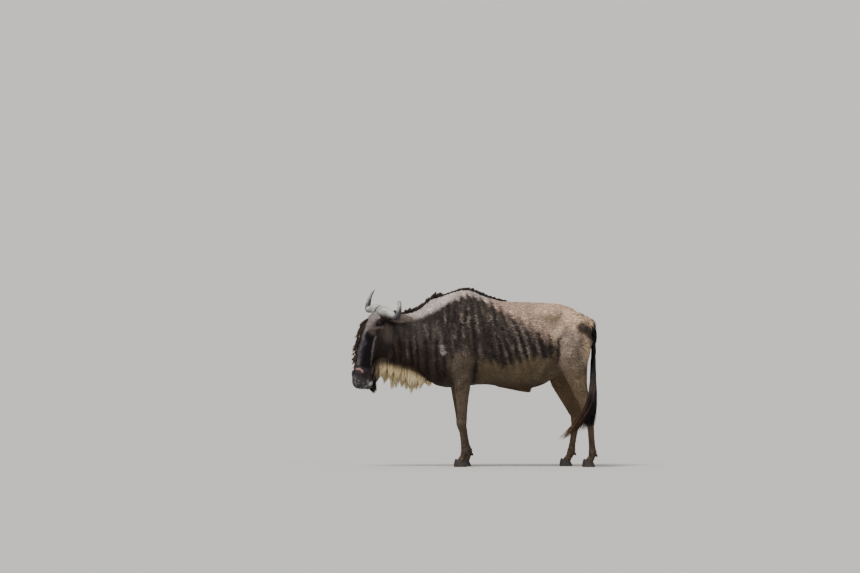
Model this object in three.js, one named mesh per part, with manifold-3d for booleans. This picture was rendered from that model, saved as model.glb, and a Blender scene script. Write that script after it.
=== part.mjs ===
// A life-size blue wildebeest bull, standing with its head low and turned to its left.
// Millimetres. The nose points to -X, the animal's left side to -Y, and the soles lie on Z = 0.
import * as THREE from 'three';
import Module from 'manifold-3d';

const wasm = await Module();
wasm.setup();

// Driving dimensions
const faceGap = 0.3;
const cutOverlap = 9;
const sameSpot = 0.02;
const headYaw = 28;
const headRoll = 7;
const facePitch = 80;
const poll = [-646, -46, 1134];
const eyeRadius = 19;
const eyePlace = { along: 95, dorsal: 66, side: 77 };
const foreCutHeight = 558;
const hindCutPoint = [540, 600];
const hindCutSlope = 0.633;
const neckCut = { top: [-235, 1240], bottom: [-345, 600] };
const headCut = { nape: [12, -46], throat: [232, -62] };
const throatCutX = -664;
const hoofGap = 5;
const clawHeight = 50;

// Small helpers
const vec = (x, y, z) => new THREE.Vector3(x, y, z);
const mix = (a, b, t) => a + (b - a) * t;
const radians = (degrees) => THREE.MathUtils.degToRad(degrees);
const clamp = (value, low, high) => Math.min(Math.max(value, low), high);

// A repeatable stream of numbers from 0 to 1
function drawer(seed) {
  let state = seed;
  return () => {
    state = (state * 1664525 + 1013904223) % 4294967296;
    return state / 4294967296;
  };
}

// Frames: columns are the directions that a form's own numbers count along
const bodyFrame = new THREE.Matrix4();
const headFrame = (() => {
  const pitch = radians(facePitch);
  const along = vec(-Math.cos(pitch), 0, -Math.sin(pitch));
  const dorsal = vec(-Math.sin(pitch), 0, Math.cos(pitch));
  const side = vec(0, -1, 0);
  const turn = new THREE.Matrix4()
    .makeRotationZ(radians(headYaw))
    .multiply(new THREE.Matrix4().makeRotationX(radians(headRoll)));
  return new THREE.Matrix4()
    .makeTranslation(...poll)
    .multiply(turn)
    .multiply(new THREE.Matrix4().makeBasis(along, dorsal, side));
})();
const placed = (frame, x, y, z) => vec(x, y, z).applyMatrix4(frame);
const turned = (frame, x, y, z) => vec(x, y, z).transformDirection(frame);

// Rows of numbers joined by a smooth curve through each of them
function smoothRows(rows, steps) {
  const out = [];
  for (let i = 0; i < rows.length - 1; i++) {
    const a = rows[Math.max(i - 1, 0)];
    const b = rows[i];
    const c = rows[i + 1];
    const d = rows[Math.min(i + 2, rows.length - 1)];
    for (let s = 0; s < steps; s++) {
      const t = s / steps;
      out.push(b.map((_, k) => {
        const bend = 2 * a[k] - 5 * b[k] + 4 * c[k] - d[k];
        const twist = 3 * b[k] - a[k] - 3 * c[k] + d[k];
        return 0.5 * (2 * b[k] + (c[k] - a[k]) * t + bend * t * t + twist * t * t * t);
      }));
    }
  }
  out.push(rows.at(-1));
  return out;
}

// The second number of a table of rows, at a place between the rows' first numbers
function valueAt(rows, place) {
  const found = rows.findIndex((row) => row[0] >= place);
  const next = found < 0 ? rows.length - 1 : Math.max(found, 1);
  const [p, q] = [rows[next - 1], rows[next]];
  return mix(p[1], q[1], clamp((place - p[0]) / (q[0] - p[0]), 0, 1));
}

// A form made of oval sections along a smooth line. A station is
// [x, y, z, half width, half height above, half height below, roundness],
// where a roundness of 2 is an ellipse, less is a ridge and more is boxy.
class Sweep {
  constructor(stations, { frame = bodyFrame, side = [0, -1, 0], blend = 40, cap = 0.8, steps = 5 } = {}) {
    const rows = smoothRows(stations, steps);
    this.blend = blend;
    this.cap = cap;
    this.centre = rows.map((r) => placed(frame, r[0], r[1], r[2]));
    this.size = rows.map((r) => [r[3], r[4], r[5], r[6] ?? 2]);
    const aside = turned(frame, ...side);
    this.axes = this.centre.map((_, i) => {
      const next = this.centre[Math.min(i + 1, rows.length - 1)];
      const last = this.centre[Math.max(i - 1, 0)];
      const along = next.clone().sub(last).normalize();
      const across = aside.clone().addScaledVector(along, -aside.dot(along)).normalize();
      return { along, across, above: along.clone().cross(across) };
    });
  }

  distance(p) {
    let least = Infinity;
    let at = 0;
    let share = 0;
    for (let i = 0; i < this.centre.length - 1; i++) {
      const a = this.centre[i];
      const b = this.centre[i + 1];
      const dx = b.x - a.x;
      const dy = b.y - a.y;
      const dz = b.z - a.z;
      const t = clamp(((p.x - a.x) * dx + (p.y - a.y) * dy + (p.z - a.z) * dz)
        / (dx * dx + dy * dy + dz * dz), 0, 1);
      const gone = (p.x - a.x - t * dx) ** 2 + (p.y - a.y - t * dy) ** 2 + (p.z - a.z - t * dz) ** 2;
      if (gone < least) {
        least = gone;
        at = i;
        share = t;
      }
    }
    const [f, g] = [this.axes[at], this.axes[at + 1]];
    const [m, n] = [this.size[at], this.size[at + 1]];
    const c = this.centre[at].clone().lerp(this.centre[at + 1], share);
    const o = p.clone().sub(c);
    const dot = (key) => mix(o.dot(f[key]), o.dot(g[key]), share);
    const across = dot('across');
    const above = dot('above');
    const wide = mix(m[0], n[0], share);
    const high = above > 0 ? mix(m[1], n[1], share) : mix(m[2], n[2], share);
    const power = mix(m[3], n[3], share);
    const atEnd = (at === 0 && share === 0) || (at === this.centre.length - 2 && share === 1);
    const beyond = atEnd ? Math.abs(dot('along')) / (Math.min(wide, high) * this.cap) : 0;
    const a = Math.abs(across) / wide;
    const b = Math.abs(above) / high;
    const ring = (a ** power + b ** power) ** (1 / power);
    const k = Math.hypot(ring, beyond);
    if (k < 1e-4) return -Math.min(wide, high);
    const ga = ring > 0 ? (a / ring) ** (power - 1) * (ring / k) / wide : 0;
    const gb = ring > 0 ? (b / ring) ** (power - 1) * (ring / k) / high : 0;
    const gc = beyond / k / (Math.min(wide, high) * this.cap);
    return (k - 1) / Math.hypot(ga, gb, gc);
  }
}

// An egg-shaped form with its own three half sizes, or a hollow of that shape
class Lump {
  constructor(centre, sizes, { frame = bodyFrame, blend = 30, hollow = false } = {}) {
    this.inverse = frame.clone().multiply(new THREE.Matrix4().makeTranslation(...centre)).invert();
    this.sizes = sizes;
    this.blend = blend;
    this.hollow = hollow;
  }

  distance(p) {
    const q = p.clone().applyMatrix4(this.inverse);
    const [a, b, c] = this.sizes;
    const near = Math.hypot(q.x / a, q.y / b, q.z / c);
    const steep = Math.hypot(q.x / a / a, q.y / b / b, q.z / c / c);
    return near < 1e-4 ? -Math.min(a, b, c) : near * (near - 1) / steep;
  }
}

function blended(a, b, reach) {
  const h = Math.max(reach - Math.abs(a - b), 0) / reach;
  return Math.min(a, b) - h * h * reach / 4;
}

// Trunk, from the tail to the breast: x, top, bottom, half width, widest height, roundness
const trunkRows = [
  [822, 1092, 890, 40, 975, 2.0],
  [798, 1115, 840, 92, 962, 2.0],
  [755, 1142, 790, 146, 952, 2.0],
  [700, 1170, 750, 186, 944, 2.0],
  [625, 1190, 720, 206, 932, 2.0],
  [520, 1198, 640, 226, 912, 2.0],
  [430, 1200, 582, 240, 895, 2.0],
  [330, 1199, 560, 246, 883, 2.0],
  [214, 1203, 572, 244, 877, 1.95],
  [100, 1232, 590, 234, 874, 1.85],
  [20, 1265, 592, 220, 872, 1.75],
  [-50, 1286, 584, 203, 872, 1.7],
  [-120, 1285, 576, 186, 876, 1.7],
  [-190, 1266, 574, 170, 882, 1.75],
  [-260, 1230, 602, 145, 892, 1.85],
  [-320, 1192, 650, 118, 900, 1.9],
];
const trunk = new Sweep(trunkRows.map(([x, top, bottom, wide, mid, round]) => [
  x, 0, mid, wide, top - mid, mid - bottom, round,
]), { blend: 60, cap: 0.5 });

const neck = new Sweep([
  [-150, 0, 960, 165, 275, 330, 1.8],
  [-300, -5, 945, 128, 250, 288, 1.85],
  [-420, -16, 940, 104, 196, 238, 1.9],
  [-520, -30, 946, 92, 166, 212, 1.95],
  [-580, -40, 960, 86, 148, 222, 2],
  [-622, -50, 985, 78, 122, 250, 2],
], { blend: 90 });

// Each leg, from shoulder blade or hip down: x, y, z, half width, half depth in front, behind
const legRows = {
  foreleg_left: [
    [-15, -88, 1150, 42, 60, 60],
    [-72, -128, 1010, 56, 88, 92],
    [-125, -146, 860, 62, 96, 108],
    [-112, -146, 740, 58, 86, 98],
    [-94, -137, 650, 54, 72, 78],
    [-89, -129, 590, 48, 62, 62],
    [-90, -122, 500, 40, 51, 50],
    [-91, -116, 400, 34, 41, 41],
    [-91, -112, 345, 34, 39, 39],
    [-93, -110, 305, 36, 40, 38],
    [-88, -108, 262, 27, 29, 31],
    [-84, -106, 210, 21, 24, 26],
    [-79, -105, 150, 21, 24, 26],
    [-74, -104, 108, 27, 30, 33],
    [-84, -104, 72, 25, 27, 28],
    [-97, -104, 46, 33, 32, 32],
  ],
  foreleg_right: [
    [-15, 88, 1150, 42, 60, 60],
    [-80, 128, 1010, 56, 88, 92],
    [-140, 146, 860, 62, 98, 108],
    [-134, 146, 740, 58, 88, 98],
    [-122, 137, 650, 54, 72, 78],
    [-116, 129, 590, 48, 62, 62],
    [-112, 122, 500, 40, 51, 50],
    [-104, 116, 400, 34, 41, 41],
    [-98, 112, 345, 34, 39, 39],
    [-94, 110, 305, 36, 40, 38],
    [-80, 108, 262, 27, 29, 31],
    [-68, 106, 210, 21, 24, 26],
    [-55, 105, 150, 21, 24, 26],
    [-45, 104, 108, 27, 30, 33],
    [-52, 104, 72, 25, 27, 28],
    [-64, 104, 46, 33, 32, 32],
  ],
  hindleg_left: [
    [672, -92, 1085, 66, 92, 120],
    [688, -118, 970, 84, 128, 146],
    [706, -134, 850, 80, 118, 138],
    [720, -138, 740, 68, 104, 104],
    [741, -134, 640, 52, 79, 78],
    [764, -129, 560, 42, 61, 58],
    [792, -124, 485, 34, 50, 50],
    [820, -122, 425, 36, 56, 62],
    [830, -121, 380, 34, 47, 46],
    [836, -120, 325, 27, 34, 33],
    [841, -120, 262, 22, 27, 28],
    [848, -120, 150, 21, 26, 28],
    [853, -120, 104, 27, 32, 34],
    [845, -120, 70, 25, 28, 28],
    [832, -120, 46, 33, 32, 32],
  ],
  hindleg_right: [
    [640, 92, 1085, 66, 92, 120],
    [652, 118, 970, 84, 128, 160],
    [632, 134, 850, 80, 120, 150],
    [622, 138, 740, 70, 108, 120],
    [628, 134, 640, 54, 88, 90],
    [650, 129, 560, 43, 68, 66],
    [682, 124, 485, 35, 54, 54],
    [722, 122, 420, 36, 55, 62],
    [738, 121, 375, 34, 47, 50],
    [735, 120, 325, 28, 37, 36],
    [727, 120, 262, 22, 29, 29],
    [711, 120, 160, 21, 27, 28],
    [703, 120, 110, 27, 32, 34],
    [688, 120, 72, 25, 28, 28],
    [672, 120, 46, 33, 32, 32],
  ],
};
const legs = Object.fromEntries(Object.entries(legRows).map(([name, rows]) => [
  name, new Sweep(rows, { blend: 46, cap: 0.5 }),
]));

// Head: along from the poll to the lips, dorsal towards the front of the face
const faceRows = [
  [6, -10, 0, 54, 40, 54, 2],
  [46, 10, 0, 74, 72, 74, 2],
  [100, 34, 0, 76, 92, 86, 2.1],
  [160, 54, 0, 66, 96, 90, 2.2],
  [230, 72, 0, 56, 90, 84, 2.2],
  [320, 88, 0, 51, 80, 74, 2.3],
  [400, 86, 0, 51, 72, 65, 2.4],
  [455, 78, 0, 58, 70, 66, 2.6],
  [510, 68, 0, 69, 73, 76, 2.9],
  [550, 62, 0, 70, 70, 74, 2.9],
  [576, 55, 0, 62, 56, 60, 2.7],
];
const face = new Sweep(faceRows, { frame: headFrame, side: [0, 0, 1], blend: 60, cap: 0.3 });
const faceCurve = smoothRows(faceRows, 8);
const faceMiddle = (a) => valueAt(faceCurve, a);

const bothSides = (make) => [-1, 1].map(make);
const headLumps = [
  ...bothSides((s) => new Lump([90, 60, 60 * s], [38, 36, 34], { frame: headFrame, blend: 26 })),
  ...bothSides((s) => new Lump([172, 8, 44 * s], [80, 54, 30], { frame: headFrame, blend: 30 })),
  ...bothSides((s) => new Lump([486, 100, 38 * s], [46, 42, 34], { frame: headFrame, blend: 24 })),
  new Lump([548, 8, 0], [44, 26, 46], { frame: headFrame, blend: 18 }),
];
const bodyLumps = [
  ...bothSides((s) => new Lump([545, 150 * s, 1108], [60, 44, 34], { blend: 90 })),
  ...bothSides((s) => new Lump([812, 66 * s, 985], [34, 34, 48], { blend: 45 })),
  ...bothSides((s) => new Lump([-196, 100 * s, 800], [62, 66, 100], { blend: 70 })),
  ...bothSides((s) => new Lump([575, 268 * s, 975], [80, 52, 95], { blend: 60, hollow: true })),
];
const sheathRows = [
  [190, 0, 618, 26, 30, 28],
  [280, 0, 590, 24, 28, 26],
  [345, 0, 566, 20, 24, 22],
  [396, 0, 546, 12, 13, 13],
];
const sheath = new Sweep(sheathRows, { blend: 40 });

const forms = [trunk, neck, ...Object.values(legs), ...bodyLumps, sheath, face, ...headLumps];

// Signed distance to the animal's whole skin, without ears, horns, hair and hooves
function skin(p) {
  let d = 1e3;
  for (const form of forms) {
    const own = form.distance(p);
    d = form.hollow ? -blended(-d, own, form.blend) : blended(d, own, form.blend);
  }
  return d;
}

function slopeOf(field, p) {
  const h = 0.5;
  const at = (x, y, z) => field(vec(p.x + x, p.y + y, p.z + z));
  const along = (x, y, z) => at(x, y, z) - at(-x, -y, -z);
  return vec(along(h, 0, 0), along(0, h, 0), along(0, 0, h)).divideScalar(2 * h);
}

function settle(field, p, mostMove) {
  const start = p.clone();
  for (let i = 0; i < 3; i++) {
    const slope = slopeOf(field, p);
    p.addScaledVector(slope, -field(p) / Math.max(slope.lengthSq(), 0.2));
  }
  return p.distanceTo(start) > mostMove ? start : p;
}

// Cutting planes. Each keeps what lies on the negative side of normal . p = offset
function planeThrough(points, normal) {
  const n = normal.clone().normalize();
  return { normal: n, offset: n.dot(points) };
}
const across = (plane, p) => plane.normal.dot(p) - plane.offset;
const neckPlane = (() => {
  const [tx, tz] = neckCut.top;
  const [bx, bz] = neckCut.bottom;
  return planeThrough(vec(tx, 0, tz), vec(bz - tz, 0, tx - bx));
})();
const headPlane = (() => {
  const [na, nd] = headCut.nape;
  const [ta, td] = headCut.throat;
  const normal = turned(headFrame, td - nd, na - ta, 0);
  return planeThrough(placed(headFrame, na, nd, 0), normal);
})();
const hindCut = planeThrough(vec(hindCutPoint[0], 0, hindCutPoint[1]), vec(hindCutSlope, 0, -1));
const foreCut = planeThrough(vec(0, 0, foreCutHeight), vec(0, 0, -1));

// Closed surfaces as manifold solids, and back to three.js geometry
function solidOf(points, faces) {
  return new wasm.Manifold(new wasm.Mesh({
    numProp: 3,
    vertProperties: new Float32Array(points.flatMap((p) => [p.x, p.y, p.z])),
    triVerts: new Uint32Array(faces.flat()),
  }));
}
function outward(points, faces) {
  const solid = solidOf(points, faces);
  return solid.volume() > 0 ? solid : solidOf(points, faces.map(([a, b, c]) => [a, c, b]));
}
function geometryOf(solid) {
  const pieces = solid.decompose().sort((a, b) => b.volume() - a.volume());
  const mesh = pieces[0].getMesh();
  const geometry = new THREE.BufferGeometry();
  geometry.setAttribute('position', new THREE.BufferAttribute(new Float32Array(mesh.vertProperties), 3));
  geometry.setIndex(new THREE.BufferAttribute(new Uint32Array(mesh.triVerts), 1));
  geometry.computeVertexNormals();
  return parted(geometry);
}

// Two corners in one place become one where an edge joins them, and move apart where none does
function parted(geometry) {
  const { position, normal } = geometry.attributes;
  const corner = (i) => new THREE.Vector3().fromBufferAttribute(position, i);
  const order = Array.from({ length: position.count }, (_, i) => i);
  order.sort((a, b) => position.getX(a) - position.getX(b));
  let index = Array.from(geometry.index.array);
  const edges = new Set();
  for (let t = 0; t < index.length; t++) {
    const next = t % 3 === 2 ? t - 2 : t + 1;
    edges.add(`${index[t]} ${index[next]}`);
  }
  const becomes = new Map();
  order.forEach((i, n) => {
    const close = (m) => m < order.length && position.getX(order[m]) - position.getX(i) < sameSpot;
    for (let m = n + 1; close(m); m++) {
      const j = order[m];
      if (becomes.has(i) || becomes.has(j) || corner(i).distanceTo(corner(j)) > sameSpot) continue;
      if (edges.has(`${i} ${j}`) || edges.has(`${j} ${i}`)) {
        becomes.set(j, i);
        continue;
      }
      const away = new THREE.Vector3().fromBufferAttribute(normal, j);
      position.setXYZ(j, ...corner(j).addScaledVector(away, -3 * sameSpot).toArray());
    }
  });
  index = index.map((i) => becomes.get(i) ?? i);
  const kept = [];
  for (let t = 0; t < index.length; t += 3) {
    const [a, b, c] = index.slice(t, t + 3);
    if (a !== b && b !== c && c !== a) kept.push(a, b, c);
  }
  geometry.setIndex(kept);
  return geometry;
}
function grown(solid, by) {
  const geometry = geometryOf(solid);
  const [place, normal] = [geometry.attributes.position, geometry.attributes.normal];
  const points = [];
  for (let i = 0; i < place.count; i++) {
    const n = new THREE.Vector3().fromBufferAttribute(normal, i);
    points.push(new THREE.Vector3().fromBufferAttribute(place, i).addScaledVector(n, by));
  }
  const index = Array.from(geometry.index.array);
  return solidOf(points, [index]);
}
const joined = (solids) => wasm.Manifold.union(solids);
const keep = (solid, plane, gap = 0) => solid.trimByPlane(
  plane.normal.clone().negate().toArray(), -plane.offset + gap,
);
const other = (plane) => ({ normal: plane.normal.clone().negate(), offset: -plane.offset });

// Rings of points joined into one closed surface
function loft(rings) {
  const count = rings[0].length;
  const points = rings.flat();
  const faces = [];
  for (let r = 0; r < rings.length - 1; r++) {
    for (let i = 0; i < count; i++) {
      const j = (i + 1) % count;
      const [a, b, c, d] = [r * count + i, r * count + j, (r + 1) * count + j, (r + 1) * count + i];
      const crossed = points[a].distanceTo(points[c]) < points[b].distanceTo(points[d]);
      faces.push(...(crossed ? [[a, b, c], [a, c, d]] : [[a, b, d], [b, c, d]]));
    }
  }
  for (const [r, flip] of [[0, true], [rings.length - 1, false]]) {
    for (const [a, b, c] of flatFaces(rings[r])) {
      const [first, second, third] = [a, flip ? c : b, flip ? b : c].map((n) => r * count + n);
      faces.push([first, second, third]);
    }
  }
  return outward(points, faces);
}
function flatFaces(ring) {
  const middle = ring.reduce((sum, p) => sum.add(p), vec(0, 0, 0)).divideScalar(ring.length);
  const normal = vec(0, 0, 0);
  ring.forEach((p, i) => {
    const q = ring[(i + 1) % ring.length];
    normal.add(p.clone().sub(middle).cross(q.clone().sub(middle)));
  });
  normal.normalize();
  const right = ring[0].clone().sub(middle);
  right.addScaledVector(normal, -right.dot(normal)).normalize();
  const up = normal.clone().cross(right);
  const flat = ring.map((p) => {
    const o = p.clone().sub(middle);
    return new THREE.Vector2(o.dot(right), o.dot(up));
  });
  return THREE.ShapeUtils.triangulateShape(flat, []);
}

// Where a line from inside the form first leaves it
function reachOut(field, from, direction, limit) {
  let gone = 1;
  while (gone < limit && field(from.clone().addScaledVector(direction, gone)) < 0) gone += 4;
  let [low, high] = [Math.max(gone - 4, 0), gone];
  for (let i = 0; i < 16; i++) {
    const middle = (low + high) / 2;
    if (field(from.clone().addScaledVector(direction, middle)) < 0) low = middle;
    else high = middle;
  }
  return from.clone().addScaledVector(direction, low);
}

// Rings cast out from a line through a form onto its skin. Each row is { centre, right, up }
function skinLoft(field, rows, sides, limit = 420) {
  return loft(rows.map(({ centre, right, up }) => Array.from({ length: sides }, (_, i) => {
    const angle = (i + 0.5) / sides * Math.PI * 2;
    const direction = right.clone().multiplyScalar(Math.cos(angle)).addScaledVector(up, Math.sin(angle));
    return reachOut(field, centre, direction.normalize(), limit);
  })));
}

// One point in each box of a grid that the skin crosses, joined across each crossed edge
function skinNet(field, lines, frame = bodyFrame) {
  const [xs, ys, zs] = lines;
  const counts = lines.map((l) => l.length);
  const slot = (i, j, k) => (i * counts[1] + j) * counts[2] + k;
  const value = new Float32Array(counts[0] * counts[1] * counts[2]);
  xs.forEach((x, i) => ys.forEach((y, j) => zs.forEach((z, k) => {
    const rim = [i, j, k].some((n, axis) => n === 0 || n === counts[axis] - 1);
    value[slot(i, j, k)] = rim ? 1 : field(placed(frame, x, y, z));
  })));
  const corners = [0, 1, 2, 3, 4, 5, 6, 7].map((c) => [c & 1, (c >> 1) & 1, (c >> 2) & 1]);
  const edges = corners.flatMap((_, c) => [1, 2, 4].filter((bit) => !(c & bit)).map((bit) => [c, c | bit]));
  const points = [];
  const number = new Map();
  for (let i = 0; i < counts[0] - 1; i++) {
    for (let j = 0; j < counts[1] - 1; j++) {
      for (let k = 0; k < counts[2] - 1; k++) {
        const values = corners.map(([a, b, c]) => value[slot(i + a, j + b, k + c)]);
        if (values.every((v) => v < 0) || values.every((v) => v >= 0)) continue;
        const sum = vec(0, 0, 0);
        let crossings = 0;
        for (const [c, d] of edges) {
          if ((values[c] < 0) === (values[d] < 0)) continue;
          const t = values[c] / (values[c] - values[d]);
          const place = (n) => {
            const [right, up, over] = corners[n];
            return placed(frame, xs[i + right], ys[j + up], zs[k + over]);
          };
          sum.add(place(c).lerp(place(d), t));
          crossings++;
        }
        number.set(slot(i, j, k), points.length);
        points.push(settle(field, sum.divideScalar(crossings), (xs[i + 1] - xs[i]) * 0.6));
      }
    }
  }
  const faces = [];
  for (let i = 1; i < counts[0] - 1; i++) {
    for (let j = 1; j < counts[1] - 1; j++) {
      for (let k = 1; k < counts[2] - 1; k++) {
        for (let axis = 0; axis < 3; axis++) {
          const step = (n) => [0, 1, 2].map((m) => (m === n ? 1 : 0));
          const [a, b, c] = [step(axis), step((axis + 1) % 3), step((axis + 2) % 3)];
          const inside = value[slot(i, j, k)] < 0;
          if (inside === value[slot(i + a[0], j + a[1], k + a[2])] < 0) continue;
          const cell = (m, n) => number.get(slot(
            i - m * b[0] - n * c[0], j - m * b[1] - n * c[1], k - m * b[2] - n * c[2],
          ));
          const quad = [cell(0, 0), cell(1, 0), cell(1, 1), cell(0, 1)];
          if (!inside) quad.reverse();
          const [p, q, r, s] = quad;
          const shorter = points[p].distanceTo(points[r]) < points[q].distanceTo(points[s]);
          faces.push(...(shorter ? [[p, q, r], [p, r, s]] : [[p, q, s], [q, r, s]]));
        }
      }
    }
  }
  return outward(points, faces);
}
function gridLine(...stretches) {
  const out = [stretches[0][0]];
  for (const [from, to, step] of stretches) {
    const count = Math.max(Math.round((to - from) / step), 1);
    for (let i = 1; i <= count; i++) out.push(mix(from, to, i / count));
  }
  return out;
}
function box(low, high, turn = 0) {
  const size = high.map((h, i) => h - low[i]);
  const geometry = new THREE.BoxGeometry(...size).toNonIndexed();
  geometry.translate(...low.map((l, i) => l + size[i] / 2)).rotateY(turn);
  const place = geometry.attributes.position;
  const points = [];
  const faces = [];
  const seen = new Map();
  for (let i = 0; i < place.count; i++) {
    const p = new THREE.Vector3().fromBufferAttribute(place, i);
    const key = p.toArray().map((v) => v.toFixed(3)).join();
    if (!seen.has(key)) seen.set(key, points.push(p) - 1);
    faces.push(seen.get(key));
  }
  return solidOf(points, [faces]);
}

// A tube of round sections, ending in a point where its last radius is 0
function tube(path, radii, sides = 6, squash = 1, flat = vec(0, 0, 1)) {
  const rings = path.map((p, i) => {
    const next = path[Math.min(i + 1, path.length - 1)];
    const last = path[Math.max(i - 1, 0)];
    const along = next.clone().sub(last).normalize();
    const up = flat.clone().addScaledVector(along, -flat.dot(along)).normalize();
    const right = along.clone().cross(up);
    return Array.from({ length: sides }, (_, n) => {
      const angle = n / sides * Math.PI * 2;
      return p.clone()
        .addScaledVector(right, Math.cos(angle) * radii[i])
        .addScaledVector(up, Math.sin(angle) * radii[i] * squash);
    });
  });
  return loft(rings);
}
const along = (points, count) => new THREE.CatmullRomCurve3(points, false, 'centripetal').getPoints(count);

// A flat tapered lock of hair. Its path runs from a root inside the flesh to a fine tip
function lock(path, width, thickness, flat, rootShare = 0.62, sharpness = 0.5) {
  const last = path.length - 1;
  const tip = 0.7;
  const full = 0.4;
  const radii = path.map((_, i) => {
    const t = i / last;
    const narrowed = Math.max(1 - ((t - full) / (1 - full)) ** 2, 0) ** sharpness;
    return Math.max(width / 2 * (t < full ? mix(rootShare, 1, t / full) : narrowed), tip);
  });
  return tube(path, radii, 4, thickness / width, flat);
}

// Torso
const margin = 26;
function nearTorso(p) {
  const nearest = p.x < 200 ? across(foreCut, p) : across(hindCut, p);
  const legEnd = p.x < 200 || p.x > 470 ? nearest - margin : -1e3;
  return Math.max(skin(p), across(neckPlane, p) - margin, legEnd);
}
function torsoSolid() {
  const net = skinNet(nearTorso, [
    gridLine([-420, -210, 52], [-210, 30, 40], [30, 520, 82], [520, 935, 46]),
    gridLine([-300, 300, 50]),
    gridLine([490, 780, 41], [780, 1340, 56]),
  ]);
  const foreBlock = box([-260, -300, 0], [80, 300, foreCutHeight]);
  const reach = 700;
  const turn = -Math.atan(hindCutSlope);
  const [hx, hz] = hindCutPoint;
  const hindBlock = box([-60, -300, -reach], [reach, 300, 0], turn).translate([hx, 0, hz]);
  const sheathTip = tube(sheathRows.map(([x, y, z]) => vec(x, y, z)), sheathRows.map((row) => row[3]), 6);
  return joined([keep(net, neckPlane).subtract(joined([foreBlock, hindBlock])), sheathTip]);
}

// Neck
function neckRings(count) {
  const first = vec(-290, -5, 925);
  first.addScaledVector(neckPlane.normal, -across(neckPlane, first) - cutOverlap);
  const [na, nd] = headCut.nape;
  const [ta, td] = headCut.throat;
  const last = placed(headFrame, mix(na, ta, 0.45), mix(nd, td, 0.45), 0);
  last.addScaledVector(headPlane.normal, -cutOverlap);
  const middle = [vec(-410, -18, 938), vec(-510, -34, 942), vec(-590, -54, 952)];
  const curve = new THREE.CatmullRomCurve3([first, ...middle, last], false, 'centripetal');
  const backwards = headPlane.normal.clone().negate();
  return Array.from({ length: count }, (_, i) => {
    const t = i / (count - 1);
    const ease = t * t * (3 - 2 * t);
    const normal = neckPlane.normal.clone().lerp(backwards, ease).normalize();
    const up = vec(0, 0, 1).addScaledVector(normal, -normal.z).normalize();
    return { centre: curve.getPoint(t), right: up.clone().cross(normal), up };
  });
}
const neckCore = () => skinLoft(skin, neckRings(11), 24);

// Head
const inHead = (a, d, s) => placed(headFrame, a, d, s);
function nearHead(p) {
  return Math.max(skin(p), across(headPlane, p) - margin);
}
function headCore() {
  const net = skinNet(nearHead, [
    gridLine([-80, 120, 25], [120, 420, 37.5], [420, 645, 25]),
    gridLine([-190, 235, 26.5]),
    gridLine([-140, 140, 25.5]),
  ], headFrame);
  return keep(net, headPlane);
}

// A path on the face: points of [along, angle from the dorsal line towards the left, lift]
function onFace(rows, count = rows.length * 3) {
  const points = rows.map(([a, angle, lift]) => {
    const turn = radians(angle);
    const direction = turned(headFrame, 0, Math.cos(turn), Math.sin(turn));
    return reachOut(skin, inHead(a, faceMiddle(a), 0), direction, 200).addScaledVector(direction, lift);
  });
  return along(points, count);
}
function eyeLid(side, upper) {
  const bow = upper ? 15 : -13;
  const points = [-1, -0.5, 0, 0.5, 1].map((t) => {
    const open = bow * (1 - t * t);
    const out = 6 + 13 * Math.sqrt(1 - t * t * 0.8) - (upper ? 1 : 4);
    return inHead(eyePlace.along + t * 25, eyePlace.dorsal + open - t * 5, side * (eyePlace.side + out));
  });
  return tube(along(points, 5), [2.5, 5, 6, 6, 5, 2.5], 5, 0.9, turned(headFrame, 0, 0, 1));
}
const mouthSteps = 9;
const lipRadii = Array.from({ length: mouthSteps + 1 }, (_, i) => (i % mouthSteps === 0 ? 3.5 : 5.5));
const mouthRows = [[472, 124, 0], [502, 116, 0], [538, 110, 0], [566, 107, -1]];
function mouthPath(offset, lift) {
  const left = mouthRows.map(([a, angle, out]) => [a, angle + offset, out + lift]);
  const right = left.map(([a, angle, out]) => [a, -angle, out]).reverse();
  const front = [-0.6, 0, 0.6].map((s) => inHead(590 + lift, 34 - offset * 1.3, 50 * s));
  const leftPoints = onFace(left, 7);
  const rightPoints = onFace(right, 7);
  return along([...leftPoints, ...front.reverse(), ...rightPoints], mouthSteps);
}
function headSolid(horns) {
  const lids = bothSides((s) => [eyeLid(s, true), eyeLid(s, false)]).flat();
  const over = turned(headFrame, 0, 1, 0);
  const lips = [-7, 7].map((offset) => tube(mouthPath(offset, -2), lipRadii, 4, 1, over));
  const slit = tube(mouthPath(0, 2), lipRadii.map((r) => r * 0.65), 4, 1, over);
  const nostril = bothSides((s) => {
    const rim = [[474, 22, -2], [466, 35, 1], [468, 48, 2], [480, 58, 1], [498, 62, 0]];
    const path = onFace(rim.map(([a, angle, lift]) => [a, angle * s, lift]), 5);
    const hole = tube(path, [3, 9, 11, 11, 8, 3], 5, 0.9, turned(headFrame, 0, 0.7, 0.7 * s));
    const fold = onFace(rim.map(([a, angle, lift]) => [a - 14, (angle + 4) * s, lift - 2]), 5);
    return { hole, fold: tube(fold, [3, 7, 7, 7, 6, 3], 4) };
  });
  const sockets = bothSides((s) => eyeBall(s, eyeRadius + faceGap));
  const brush = browBrush();
  const solid = joined([headCore(), ...lids, ...lips, ...nostril.map((n) => n.fold), ...brush])
    .subtract(joined([slit, ...nostril.map((n) => n.hole), ...sockets]));
  return keep(solid, headPlane).subtract(joined(horns.map((s) => grown(s, faceGap))));
}
function eyeBall(side, radius) {
  const centre = inHead(eyePlace.along, eyePlace.dorsal, eyePlace.side * side);
  const axis = turned(headFrame, 0, 0, side);
  const rings = [-0.97, -0.75, -0.35, 0.1, 0.5, 0.8, 0.96];
  const path = rings.map((t) => centre.clone().addScaledVector(axis, radius * t));
  return tube(path, rings.map((t) => radius * Math.sqrt(1 - t * t)), 10, 1, turned(headFrame, 1, 0, 0));
}

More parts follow.
